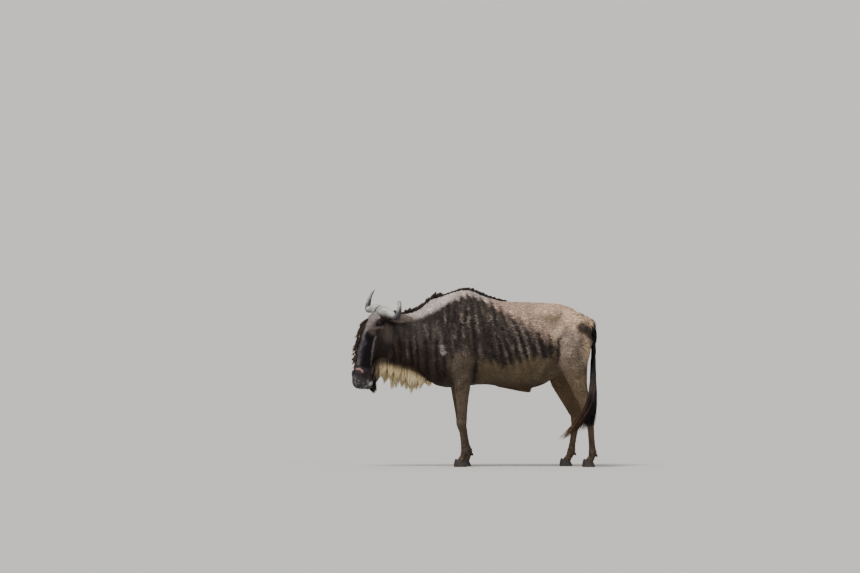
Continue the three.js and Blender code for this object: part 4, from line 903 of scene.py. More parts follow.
# Dark bands and pale streaks between them, upright on the shoulder and leaning back over the ribs
def coatColor(start, place):
    color = start.attribute("coatColor", 1)
    banding, lips = start.attribute("banding"), start.attribute("lips")
    x, _, z = place.split()
    tall = place.stretched(1, 1, 0.25)
    slant = x.ease(-0.12, 0.25, 0.02, 0.42)
    step = x.ease(-0.1, 0.15, 0.046, 0.061)
    phase = (x + slant * (z - 1.0) + (tall.noise(7, 2) - 0.5) * 0.075) / step
    wave = start.maths("SINE", phase * 6.283)
    broken, thin = tall.noise(16, 2), tall.noise(60, 3)
    dark = (1 - wave.ease(-0.35, 0.6)) * broken.ease(0.30, 0.50)
    streak = wave.ease(0.35, 0.98) * broken.ease(0.42, 0.60) + thin.ease(0.56, 0.72) * 0.30
    color = mixColors(start, dark * banding * 0.35, color, coatLook["black"])
    color = mixColors(start, streak * banding * 0.25, color, coatLook["streak"])
    # wrinkled grey lips
    wrinkle = place.noise(42, 2, 0.5)
    color = mixColors(start, lips * wrinkle.ease(0.45, 0.70) * 0.32, color, coatLook["lipLight"])
    fine = place.stretched(1, 1, 0.4).noise(26, 3)
    grain = place.stretched(40, 40, 12).noise(6, 3, 0.6)
    shade = fine.ease(0.3, 0.7, 0.90, 1.09) * grain.ease(0.3, 0.7, 0.94, 1.05)
    return scaled(start, color, shade), grain, fine


def mixColors(start, factor, first, second):
    return (factor if isinstance(factor, Wire) else start).color(first, second)


def scaled(start, color, factor):
    kind = {"operation": "SCALE"}
    return start.node("ShaderNodeVectorMath", kind, {0: color, 3: factor})


def skinNodes(start, place):
    color, grain, fine = coatColor(start, place)
    hair = place.stretched(1, 1, 0.22).noise(220, 2, 0.6)
    height = grain * 0.6 + hair * 0.4 + fine * 0.5
    rough = fine.ease(0.3, 0.7, 0.55, 0.75)
    return {"Base Color": color, "Roughness": rough, "bump": (height, 0.5, 0.006)}


def tuftNodes(start, place):
    color = coatColor(start, start.attribute("rootPlace", 1))[0]
    tone, reach = start.attribute("tone"), start.attribute("reach")
    shade = tone.ease(0, 1, 0.90, 1.10) * reach.ease(0, 1, 0.92, 1.08)
    return {"Base Color": scaled(start, color, shade), "Roughness": tone.ease(0, 1, 0.5, 0.7)}


hairShine = 0.12


# Long hair: each strand carries its colours, and differs a little from the next
def hairMaterial(name, spread=0.35, roughness=0.5):
    def build(start, place):
        tone = start.attribute("tone")
        patch = place.noise(9, 2)
        shade = tone.ease(0, 1, 1 - spread, 1 + spread) * patch.ease(0.3, 0.7, 0.85, 1.12)
        color = scaled(start, start.attribute("hairColor", 1), shade)
        return {"Base Color": color, "Roughness": tone.ease(0, 1, roughness - 0.1, roughness + 0.15)}
    return newMaterial(name, build, roughness, hairShine)


# Colours from root to tip for each strand, darker and lighter by the given power
def rootToTip(n, points, rootColor, tipColor, power=1.4):
    t = np.linspace(0, 1, points)[None, :, None] ** power
    return np.repeat(mix(np.array(rootColor), np.array(tipColor), t), n, 0)


# A closed form through rings of points, with one more point in the middle of each end
def loft(rings):
    rings = np.asarray(rings, float)
    m, n = rings.shape[:2]
    points = np.concatenate([rings.reshape(-1, 3), [rings[0].mean(0)], [rings[-1].mean(0)]])
    i, j = np.meshgrid(np.arange(m - 1), np.arange(n), indexing="ij")
    a, b = (i * n + j).ravel(), (i * n + (j + 1) % n).ravel()
    ring, top = np.arange(n), (m - 1) * n
    after = (ring + 1) % n
    firstEnd = np.stack([after, ring, np.full(n, m * n)], 1)
    lastEnd = np.stack([top + ring, top + after, np.full(n, m * n + 1)], 1)
    faces = np.concatenate([np.stack([a, b, b + n], 1), np.stack([a, b + n, a + n], 1), firstEnd, lastEnd])
    corners = points[faces]
    volume = np.einsum("ij,ij->i", corners[:, 0], np.cross(corners[:, 1], corners[:, 2])).sum()
    return points, faces if volume > 0 else faces[:, ::-1]


def unwrap(made, margin=0.002):
    if not made.data.uv_layers:
        made.data.uv_layers.new(name="OFBake")
    bpy.context.view_layer.objects.active = made
    made.select_set(True)
    bpy.ops.object.mode_set(mode="EDIT")
    bpy.ops.mesh.select_all(action="SELECT")
    bpy.ops.uv.smart_project(angle_limit=radians(66), island_margin=margin)
    bpy.ops.object.mode_set(mode="OBJECT")
    made.select_set(False)


def settle(made, slotName, *nodes):
    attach(made, "root")
    if nodes:
        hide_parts(*nodes)
    return made


# The skin, one surface for the whole body
print("making the skin")
net, quads = skinNet()
net = settled(net)
print("skin net", len(net), "points")
normals = vertexNormals(net, quads)
if rowDot(net - net.mean(0), normals).mean() < 0:
    quads = quads[:, ::-1]
    normals = -normals
net = net + normals * flankRelief(net, normals)[:, None]
net = headRelief(net, vertexNormals(net, quads))
normals = vertexNormals(net, quads)
coatMaterial = newMaterial("coat", skinNodes, coatLook["roughness"], coatLook["shine"])
tuftMaterial = newMaterial("coatTufts", tuftNodes, coatLook["roughness"], coatLook["shine"])
skin = makeMesh("skin", toRow(net), quads, coatMaterial, attributes=coatMarks(net))
unwrap(skin)
loopUv = np.empty(len(quads) * 8, np.float32)
skin.data.uv_layers["OFBake"].data.foreach_get("uv", loopUv)
loopUv = loopUv.reshape(-1, 4, 2)
pointUv = np.zeros((len(net), 2))
pointUv[quads.ravel()] = loopUv.reshape(-1, 2)
settle(skin, "body_coat", "torso", "neck", "head", "foreleg_left", "foreleg_right", "hindleg_left",
       "hindleg_right")
print("skin done")


# The nearest place on the skin, for the roots of long hair
skinTree = KDTree(len(net))
for i, p in enumerate(net):
    skinTree.insert(p, i)
skinTree.balance()


def skinUv(points):
    return pointUv[[skinTree.find(p)[1] for p in points]]


# Short tufts over the whole body: how many, how long and wide, how far the tips stand off
coatPieces = {
    "coatShoulder": {"count": 20000, "long": 24, "wide": 5.2, "lift": 2.4},
    "coatBarrel": {"count": 21000, "long": 24, "wide": 5.2, "lift": 2.2},
    "coatNeck": {"count": 12000, "long": 26, "wide": 5.0, "lift": 4.5},
    "coatLegs": {"count": 16000, "long": 13, "wide": 3.6, "lift": 2.0},
    "coatHead": {"count": 13000, "long": 11, "wide": 2.8, "lift": 1.8},
}


def coatZones(p):
    h = toHead(p)
    x, z = p[:, 0], p[:, 2]
    head = easeIn(h[:, 0], -10, 10) * (x < -500) * (h[:, 1] > -95) * (np.abs(h[:, 2]) < 110)
    mouth = 1 - easeIn(h[:, 0], 470, 505) * 0.75
    eye = np.hypot((h[:, 0] - eyeMake["along"]) / 29, (h[:, 1] - eyeMake["dorsal"]) / 17) > 1
    legs = (z < 560) & (x > -300)
    body = (head < 0.5) & ~legs
    return {
        "coatHead": (head > 0.5) * mouth * eye,
        "coatLegs": legs * (z > 52),
        "coatNeck": body & (x < -260),
        "coatShoulder": body & (x >= -260) & (x < 240),
        "coatBarrel": body & (x >= 240),
    }


def scatter(weights, count, draw):
    corners = net[quads]
    area = np.linalg.norm(np.cross(corners[:, 2] - corners[:, 0], corners[:, 3] - corners[:, 1]), axis=1)
    chance = area * weights
    pick = draw.choice(len(quads), count, p=chance / chance.sum())
    u, v = draw.random((2, count))
    w = np.stack([(1 - u) * (1 - v), u * (1 - v), u * v, (1 - u) * v], 1)[..., None]
    place = (corners[pick] * w).sum(1)
    return place, unit((normals[quads[pick]] * w).sum(1)), (loopUv[pick] * w).sum(1)


def addCoat(name, sizes, weights, seed):
    draw = np.random.default_rng(seed)
    root, normal, uv = scatter(weights, sizes["count"], draw)
    n = len(root)
    flow = coatFlow(root, normal)
    aside = np.cross(normal, flow)
    flow = unit(flow + aside * draw.normal(0, 0.16, (n, 1)))
    length = sizes["long"] * draw.uniform(0.7, 1.25, (n, 1))
    lift = sizes["lift"] * draw.uniform(0.3, 1.15, (n, 1))
    paths = np.stack([root - normal * 1.2, root + flow * length * 0.4 + normal * lift * 0.75,
                      root + flow * length + normal * lift * 0.8], 1)
    marks = coatMarks(root)
    marks["rootPlace"] = toRow(root)
    wide = sizes["wide"] * draw.uniform(0.7, 1.2, n)
    made = makeStrands(name, paths, wide, normal, tuftMaterial, uv, draw, 0.17, 0.8, marks=marks)
    return settle(made, "body_coat")


zones = coatZones(net[quads].mean(1))
for seed, (name, sizes) in enumerate(coatPieces.items()):
    addCoat(name, sizes, zones[name].astype(float), 100 + seed)


def neckAside(x):
    return -50 * clamp((-x - 250) / 380) ** 1.6


# Mane: a standing fringe on the crest and long hair that falls to the right
maneMake = {
    "line": [(-598, 1112), (-540, 1112), (-470, 1124), (-400, 1144), (-320, 1186), (-240, 1230),
             (-160, 1266), (-80, 1284), (0, 1270), (80, 1236), (150, 1212), (205, 1202)],
    "rise": [(-598, 28), (-540, 40), (-470, 46), (-440, 34), (-400, 50), (-330, 54), (-262, 46), (-236, 22),
             (-200, 17), (-100, 20), (0, 16), (120, 12), (205, 6)],
    "share": [(-600, 0.75), (-300, 1), (-100, 0.8), (203, 0.35)],
    "from": -600, "to": 203, "tufts": 46, "standing": 3000, "falling": 2600, "wide": 3.4,
    "root": (0.016, 0.012, 0.012), "tip": (0.034, 0.024, 0.020),
}


def onCrest(x, z, angle, lift):
    turn = np.radians(angle)
    ways = np.stack([turn * 0, np.sin(turn), np.cos(turn)], 1)
    starts = np.stack([x, neckAside(x), z - 130], 1)
    return reachOut(starts, ways, 300, 20) + ways * lift[:, None]


def addMane():
    draw = np.random.default_rng(7)
    lineX, lineZ = smoothRows(maneMake["line"], 6).T
    first, last = maneMake["from"], maneMake["to"]
    hair = hairMaterial("maneHair", 0.4, 0.45)
    # the standing hair grows in tufts that part at their tips
    n = maneMake["standing"]
    x = draw.uniform(first, last, n)
    tuft = np.floor((x - first) / (last - first) * maneMake["tufts"]).astype(int)
    middle = (tuft + 0.5) * (last - first) / maneMake["tufts"] + first
    tall, leaning = draw.uniform(0.72, 1.05, maneMake["tufts"]), draw.uniform(14, 34, maneMake["tufts"])
    z = np.interp(x, lineX, lineZ)
    rise = table(maneMake["rise"], x) * tall[tuft] * draw.uniform(0.55, 1.0, n) + 3
    root = onCrest(x, z, draw.normal(0, 5, n), np.full(n, -5.0))
    t = np.linspace(0, 1, 5)[None, :]
    along = ((middle - x) * 0.6 + leaning[tuft] * draw.uniform(0.5, 1.1, n))[:, None] * t ** 1.6
    paths = root[:, None] + np.stack([along, draw.normal(3, 4, (n, 1)) * t, rise[:, None] * t], 2)
    wide = maneMake["wide"] * draw.uniform(0.7, 1.3, n)
    made = makeStrands("maneStanding", paths, wide, np.tile([0.0, 1, 0], (n, 1)), hair, skinUv(root), draw,
                       0.5, colors=rootToTip(n, 5, maneMake["root"], maneMake["tip"]))
    settle(made, "dark_coat")
    # the falling hair lies against the right side of the neck
    n = maneMake["falling"]
    x = draw.uniform(first, last, n)
    z = np.interp(x, lineX, lineZ)
    share = table(maneMake["share"], x)
    end = draw.uniform(18, 105, n) * share
    back = draw.uniform(5, 55, n)
    lifts = [-5, 3, 6, 6, 4, 2]
    paths = np.stack([onCrest(x + back * t, z, mix(draw.normal(2, 3, n), end, t), np.full(n, lift))
                      for t, lift in zip(np.linspace(0, 1, 6), lifts)], 1)
    paths[:, 1:4] += draw.normal(0, 1.5, (n, 3, 3))
    facing = unit(paths[:, 3] - np.stack([x, neckAside(x), z - 130], 1))
    made = makeStrands("maneFalling", paths, maneMake["wide"] * draw.uniform(0.8, 1.5, n), facing, hair,
                       skinUv(paths[:, 0]), draw, 0.4,
                       colors=rootToTip(n, 6, maneMake["root"], maneMake["tip"]))
    settle(made, "dark_coat")


# Beard: long hair under throat and neck, brown behind the jaw and pale further back, and dark where it leaves
# the skin
beardMake = {
    "count": 6200, "locks": 30, "wide": 3.0, "from": -742, "to": -318, "spread": 34,
    "tips": [(-742, 560), (-700, 552), (-665, 584), (-640, 560), (-575, 552), (-500, 540), (-440, 522),
             (-380, 556), (-318, 590)],
    "paleFrom": [(-742, 640), (-690, 700), (-650, 745), (-600, 735), (-473, 706), (-395, 655), (-318, 622)],
    "dark": (0.040, 0.028, 0.018), "brown": (0.200, 0.150, 0.105), "pale": (0.70, 0.52, 0.270),
    "light": (0.84, 0.72, 0.47),
}


def hangingPaths(root, sway, draw, points=7, waver=7):
    n = len(root)
    t = np.linspace(0, 1, points)[None, :, None]
    swing = np.concatenate([draw.normal(0, waver, (n, 1, 2)), np.zeros((n, 1, 1))], 2)
    path = np.stack([sway[:, :1] * t[..., 0] ** 2, sway[:, 1:2] * t[..., 0], sway[:, 2:3] * t[..., 0]], 2)
    return root[:, None] + path + swing * np.sin(t * pi)


def addBeard():
    draw = np.random.default_rng(23)
    n, locks = beardMake["count"], beardMake["locks"]
    lockX = np.sort(draw.uniform(beardMake["from"], beardMake["to"], locks))
    lockSide = clamp(draw.normal(0, 0.6, locks), -1, 1)
    lockLong, lockSway = draw.uniform(0.62, 1.04, locks), draw.normal(0, 9, locks)
    lock = draw.integers(0, locks, n)
    x = clamp(lockX[lock] + draw.normal(0, 13, n), beardMake["from"], beardMake["to"])
    side = clamp(lockSide[lock] + draw.normal(0, 0.22, n), -1, 1)
    starts = np.stack([x, neckAside(x) + side * beardMake["spread"], np.full(n, 880.0)], 1)
    root = reachOut(starts, np.tile([0.0, 0, -1], (n, 1)), 500, 16)
    root[:, 2] += 6
    length = (root[:, 2] - table(beardMake["tips"], x)) * lockLong[lock] * draw.uniform(0.68, 1.0, n)
    length *= 1 - 0.12 * np.abs(side)
    share = (x - beardMake["from"]) / (beardMake["to"] - beardMake["from"])
    toMiddle = (lockX[lock] - x) * 0.85
    sway = np.stack([mix(-40, 10, share) + lockSway[lock] + toMiddle, side * 12, -length], 1)
    paths = hangingPaths(root, sway, draw, 6, 4)
    t = np.linspace(0, 1, 6)[None, :]
    below = table(beardMake["paleFrom"], x)[:, None] - paths[..., 2]
    pale = easeIn(below, -12, 34) * easeIn(x, -676, -650)[:, None]
    tint = lambda name: np.array(beardMake[name])
    colors = mix(tint("dark"), tint("brown"), easeIn(t, 0.1, 0.8)[..., None]) + np.zeros((n, 6, 3))
    light = t * (0.35 + 0.65 * (lockLong[lock] > 0.9))[:, None]
    paleTint = mix(tint("pale"), tint("light"), light[..., None])
    colors = mix(colors, paleTint, pale[..., None])
    made = makeStrands("beard", paths, beardMake["wide"] * draw.uniform(0.7, 1.3, n),
                       np.tile([0.2, 1, 0], (n, 1)), hairMaterial("beardHair", 0.22, 0.55), skinUv(root),
                       draw, 0.4, colors=colors)
    settle(made, "dark_coat")


# Dark fringe from the chin back along the jaw
fringeMake = {
    "count": 1300, "wide": 3.0, "from": 570, "to": 300, "long": (52, 118),
    "root": (0.013, 0.010, 0.011), "tip": (0.024, 0.018, 0.017),
}


def addFringe():
    draw = np.random.default_rng(29)
    n = fringeMake["count"]
    u = draw.random(n) ** 0.9
    a = mix(fringeMake["from"], fringeMake["to"], u)
    side = clamp(draw.normal(0, 0.5, n), -1, 1)
    starts = inHead(np.stack([a, faceMiddle(a), a * 0], 1))
    ways = np.stack([a * 0, -np.ones(n), side * 0.6], 1) @ headDirections
    root = reachOut(starts, ways, 200, 10) - unit(ways) * 5
    length = mix(*fringeMake["long"], u) * draw.uniform(0.5, 1.0, n)
    sway = np.stack([mix(22, 34, draw.random(n)), side * 8, -length], 1)
    made = makeStrands("jawFringe", hangingPaths(root, sway, draw, 6, 4),
                       fringeMake["wide"] * draw.uniform(0.7, 1.3, n), np.tile([0.2, 1, 0], (n, 1)),
                       hairMaterial("jawHair", 0.35, 0.5), skinUv(root), draw, 0.45,
                       colors=rootToTip(n, 6, fringeMake["root"], fringeMake["tip"]))
    settle(made, "dark_coat")


# Stiff brush down the front of the face, in gappy tufts
brushMake = {
    "count": 2200, "tufts": 60, "wide": 2.2, "from": 84, "to": 412, "long": (88, 34),
    "root": (0.020, 0.014, 0.012), "tip": (0.085, 0.055, 0.038),
}


def addBrush():
    draw = np.random.default_rng(11)
    n, tufts = brushMake["count"], brushMake["tufts"]
    tuftU, tuftAngle = np.sort(draw.random(tufts)), clamp(draw.normal(-0.25, 0.5, tufts), -1, 1)
    tuftLong, tuftLean = draw.uniform(0.7, 1.05, tufts), draw.normal(0, 0.16, (tufts, 3))
    tuft = draw.integers(0, tufts, n)
    u = clamp(tuftU[tuft] + draw.normal(0, 0.012, n))
    a = mix(brushMake["from"], brushMake["to"], u)
    angle = clamp(tuftAngle[tuft] + draw.normal(0, 0.14, n), -1, 1) * mix(13, 15, u)
    root = onFace(np.stack([a, angle], 1))
    turn = np.radians(angle)
    out = np.stack([mix(0.2, 0.5, u), np.ones(n), np.sin(turn) * 1.1], 1)
    down = np.stack([np.ones(n), np.full(n, 0.1), np.sin(turn) * 0.5], 1)
    jitter = tuftLean[tuft] + draw.normal(0, 0.07, (n, 3))
    out, down = unit(out + jitter) @ headDirections, unit(down + jitter) @ headDirections
    length = mix(*brushMake["long"], u ** 0.6) * tuftLong[tuft] * draw.uniform(0.5, 1.0, n)
    t = np.linspace(0, 1, 5)[None, :, None]
    bow = length[:, None, None] * 0.40 * np.sin(t * 1.5)
    fall = length[:, None, None] * t * t * 0.9
    paths = root[:, None] - out[:, None] * 3 + out[:, None] * bow + down[:, None] * fall
    made = makeStrands("faceBrush", paths, brushMake["wide"] * draw.uniform(0.7, 1.3, n),
                       np.tile(headDirections[1], (n, 1)), hairMaterial("brushHair", 0.4, 0.5), skinUv(root),
                       draw, 0.45, colors=rootToTip(n, 5, brushMake["root"], brushMake["tip"], 1.0))
    settle(made, "dark_coat")


# Tail: the dock and its long hair, which hangs outside the left hock with some of it swung forward
tailMake = {
    "dock": [(786, 0, 1058, 26), (800, 0, 1060, 26), (836, 0, 1042, 21), (858, -4, 985, 15),
             (862, -14, 918, 12), (860, -44, 798, 11), (860, -92, 690, 8), (862, -130, 610, 3)],
    "hang": [(872, -6, 960), (872, -20, 880), (866, -50, 790), (862, -108, 665), (862, -160, 560),
             (860, -200, 460), (852, -214, 380), (842, -218, 290)],
    "swing": [(872, -6, 960), (872, -20, 880), (866, -50, 790), (862, -108, 665), (856, -168, 560),
              (832, -210, 460), (772, -224, 360), (690, -222, 262), (612, -214, 190)],
    "count": 3400, "short": 2600, "wide": 3.8, "root": (0.006, 0.004, 0.007), "tip": (0.008, 0.006, 0.007),
    "wisp": (0.110, 0.060, 0.034),
}


def curvePoints(rows, t):
    line = smoothRows(rows, 12)
    gone = np.append(0, np.cumsum(np.linalg.norm(np.diff(line, axis=0), axis=1)))
    at = np.clip(t, 0, 1) * gone[-1]
    return np.stack([np.interp(at, gone, line[:, i]) for i in range(3)], -1)


def tubeRings(rows, sides, steps):
    line = smoothRows(rows, steps)
    centre = line[:, :3]
    ahead = unit(np.gradient(centre, axis=0))
    right = unit(np.cross(ahead, [1.0, 0.001, 0]))
    up = np.cross(right, ahead)
    angle = np.linspace(0, 2 * pi, sides, endpoint=False)
    return centre[:, None] + line[:, 3][:, None, None] * (np.cos(angle)[None, :, None] * right[:, None]
                                                          + np.sin(angle)[None, :, None] * up[:, None])


def addTail():
    draw = np.random.default_rng(5)
    points, faces = loft(tubeRings(tailMake["dock"], 20, 6))
    hair = hairMaterial("tailHair", 0.35, 0.42)
    # the root of the dock still has the coat of the rump
    fromRump = lambda p: (1 - easeIn(p[..., 0], 826, 846)) * easeIn(p[..., 2], 1006, 1030)
    tinted = lambda p, color: mix(color, np.array(coatLook["rump"]), fromRump(p)[..., None])
    dockColor = tinted(points, np.array(tailMake["root"]))
    marks = {"hairColor": dockColor, "tone": np.full(len(points), 0.5)}
    dock = makeMesh("tailDock", toRow(points), faces, hair, attributes=marks)
    unwrap(dock)
    settle(dock, "tail_hair", "tail")
    # short hair that covers the dock
    n = tailMake["short"]
    t = draw.random(n)
    dockLine = smoothRows(tailMake["dock"], 6)
    at = t * (len(dockLine) - 1.001)
    low = at.astype(int)
    row = mix(dockLine[low], dockLine[low + 1], (at - low)[:, None])
    ahead = unit(dockLine[low + 1][:, :3] - dockLine[low][:, :3])
    turn = draw.uniform(0, 2 * pi, n)
    right = unit(np.cross(ahead, [1.0, 0.001, 0]))
    out = right * np.cos(turn)[:, None] + np.cross(right, ahead) * np.sin(turn)[:, None]
    root = row[:, :3] + out * (row[:, 3:4] - 1)
    length = mix(26, 120, t)[:, None] * draw.uniform(0.7, 1.2, (n, 1))
    lift = mix(1.5, 5, t)[:, None]
    paths = np.stack([root, root + ahead * length * 0.3 + out * lift,
                      root + ahead * length * 0.65 + out * lift, root + ahead * length + out * lift * 0.3], 1)
    made = makeStrands("tailShort", paths, draw.uniform(3, 5, n), out, hair, skinUv(root), draw, 0.4,
                       colors=tinted(root[:, None], rootToTip(n, 4, tailMake["root"], tailMake["tip"])))
    settle(made, "tail_hair")
    # the long hair, which leaves the dock all the way down it
    n = tailMake["count"]
    order = draw.random(n)
    start = mix(0.0, 0.5, order)
    end = clamp(start + mix(0.3, 0.56, clamp(order * 1.6)) * draw.uniform(0.6, 1.1, n), 0, 1)
    lean = draw.random(n) ** 2.2
    turn = draw.uniform(0, 2 * pi, n)
    spread = mix(14, 36, order) * draw.uniform(0.1, 1.0, n) ** 0.6
    paths = []
    for t in np.linspace(0, 1, 10):
        at = mix(start, end, t)
        p = mix(curvePoints(tailMake["hang"], at), curvePoints(tailMake["swing"], at), lean[:, None])
        out = spread * np.sin(min(t * 1.7, 1.35)) + 2
        wave = np.sin(t * 7 + turn * 3) * 2.5 * t
        p += np.stack([np.cos(turn) * out + wave - 5, np.sin(turn) * out * 0.5, out * 0], 1)
        paths.append(p)
    paths = np.stack(paths, 1)
    t = np.linspace(0, 1, 10)[None, :, None]
    colors = rootToTip(n, 10, tailMake["root"], tailMake["tip"])
    wisp = easeIn(t, 0.5, 1.0) * easeIn(lean, 0.25, 0.8)[:, None, None]
    colors = mix(colors, np.array(tailMake["wisp"]), wisp)
    made = makeStrands("tailLong", paths, tailMake["wide"] * draw.uniform(0.6, 1.3, n),
                       np.tile([0.0, -1, 0], (n, 1)), hair, skinUv(paths[:, 0]), draw, 0.45, colors=colors)
    settle(made, "tail_hair")


# Horns: along, dorsal, side, half height, half depth. The left one is worn short and blunt
hornRows = [
    (20, 32, 1.5, 44, 48), (15, 37, 36, 46, 48), (9, 38, 71, 42, 44), (9, 34, 111, 34, 36),
    (15, 30, 151, 28, 29), (24, 26, 187, 24, 25), (27, 22, 218, 21, 22), (11, 20, 237, 20, 20),
    (-18, 19, 241, 19, 18),
]
hornTips = {
    "left": [(-48, 19, 231, 17, 16), (-70, 18, 219, 15.5, 15), (-84, 18, 210, 13, 13), (-92, 18, 206, 7, 7)],
    "right": [(-50, 19, 238, 15, 14), (-80, 19, 227, 11.5, 10.5), (-108, 18, 209, 7, 6.5),
              (-129, 17, 190, 2, 2)],
}
hornLook = {
    # the colour of the cracks also paints shade under the boss, and the dark colour paints shade at the bend
    # and up the back of the tips
    "base": (0.20, 0.195, 0.175), "worn": (0.47, 0.47, 0.440), "crackAndShade": (0.050, 0.044, 0.038),
    "dark": (0.045, 0.039, 0.042), "sides": 36, "roughness": 0.45, "shine": 0.2,
}


def hornNodes(start, place):
    a, d, s = headPlaces(start, place)
    away = start.maths("ABSOLUTE", s)
    rough = place.noise(34, 6, 0.62, 0.6)
    broad = place.noise(12, 3)
    grain = place.stretched(1.5, 1.5, 0.5).noise(130, 3, 0.6)
    boss = 1 - away.ease(0.09, 0.19)
    rings = start.maths("SINE", away * 420 + rough * 3)
    worn = rough.ease(0.38, 0.62) * 0.55 + broad.ease(0.38, 0.62) * 0.45
    color = mixColors(start, worn, hornLook["base"], hornLook["worn"])
    color = mixColors(start, boss * rough.ease(0.52, 0.62) * 0.6, color, hornLook["crackAndShade"])
    # painted shade under the boss, at the bend and up the back of the tips, and dark in the parting
    partingAndShadeUnder = (1 - away.ease(0.006, 0.022)) * 0.85 + a.ease(0.012, 0.052) * 0.85
    color = mixColors(start, partingAndShadeUnder, color, hornLook["crackAndShade"])
    low = a.ease(-0.062, -0.036)
    under = (1 - d.ease(0.026, 0.034)) * low + (1 - d.ease(0.012, 0.024)) * (1 - low)
    behind = away.ease(0.17, 0.20) * under
    bend = away.ease(0.195, 0.235) * a.ease(-0.035, 0.0) * 0.85
    color = scaled(start, color, away.ease(0.16, 0.21, 1, 0.72))
    color = mixColors(start, behind * 0.95 + bend, color, hornLook["dark"])
    height = rough * boss + grain * 0.35 + rings * 0.12 * (1 - boss)
    return {"Base Color": color, "Roughness": rough.ease(0.3, 0.7, 0.40, 0.62), "bump": (height, 0.8, 0.005)}


def addHorns():
    material = newMaterial("hornKeratin", hornNodes, hornLook["roughness"], hornLook["shine"])
    for side, name in ((1, "left"), (-1, "right")):
        rows = smoothRows(hornRows + hornTips[name], 6)
        centre = inHead(rows[:, :3] * (1, 1, side))
        ahead = unit(np.gradient(centre, axis=0))
        depth = unit(headDirections[1] - (ahead @ headDirections[1])[:, None] * ahead)
        high = np.cross(ahead, depth)
        angle = np.linspace(0, 2 * pi, hornLook["sides"], endpoint=False)[None, :, None]
        away = rows[:, 2][:, None, None]
        boss = 1 - easeIn(away, 80, 150)
        creases = 0.022 * boss * (1 + np.sin(away / 4.3 + 1.3 * np.sin(angle * 3 + side)))
        ridge = 1 - creases - 0.012 * (1 + np.sin(away * 0.7))
        rings = centre[:, None] + (np.cos(angle) * rows[:, 3][:, None, None] * high[:, None]
                                   + np.sin(angle) * rows[:, 4][:, None, None] * depth[:, None]) * ridge
        points, faces = loft(rings)
        made = makeMesh("horn" + name.capitalize(), toRow(points), faces, material)
        unwrap(made)
        settle(made, "horn", "horn_" + name)


# Ears: a leaf with a cupped front, held out and back under the horn
earMake = {
    "long": 196, "thick": 4, "root": (56, 8, 54), "steps": 16,
    "rows": [(0, 15, 150), (0.14, 17, 150), (0.27, 25, 118), (0.42, 33, 98), (0.57, 35, 86), (0.72, 31, 78),
             (0.85, 22, 70), (0.95, 11, 62), (1, 3, 60)],
    "outside": (0.50, 0.42, 0.40), "inside": (0.46, 0.350, 0.325), "edge": (0.045, 0.036, 0.022),
    "hair": (0.34, 0.28, 0.25), "roughness": 0.65, "droop": 14, "hairs": 620,
    "away": (-0.27, -0.66, 0.72), "front": (0.55, 0.75, 0.25),
}


def earNodes(start, place):
    fine = place.stretched(1, 1, 1).noise(60, 3)
    inner = start.attribute("inner")
    rim = start.attribute("rim")
    color = mixColors(start, inner.ease(0.2, 0.8), earMake["outside"], earMake["inside"])
    color = mixColors(start, rim.ease(0.72, 0.98), color, earMake["edge"])
    shade = fine.ease(0.3, 0.7, 0.8, 1.15)
    return {"Base Color": scaled(start, color, shade), "bump": (place.noise(260, 3), 0.4, 0.002)}


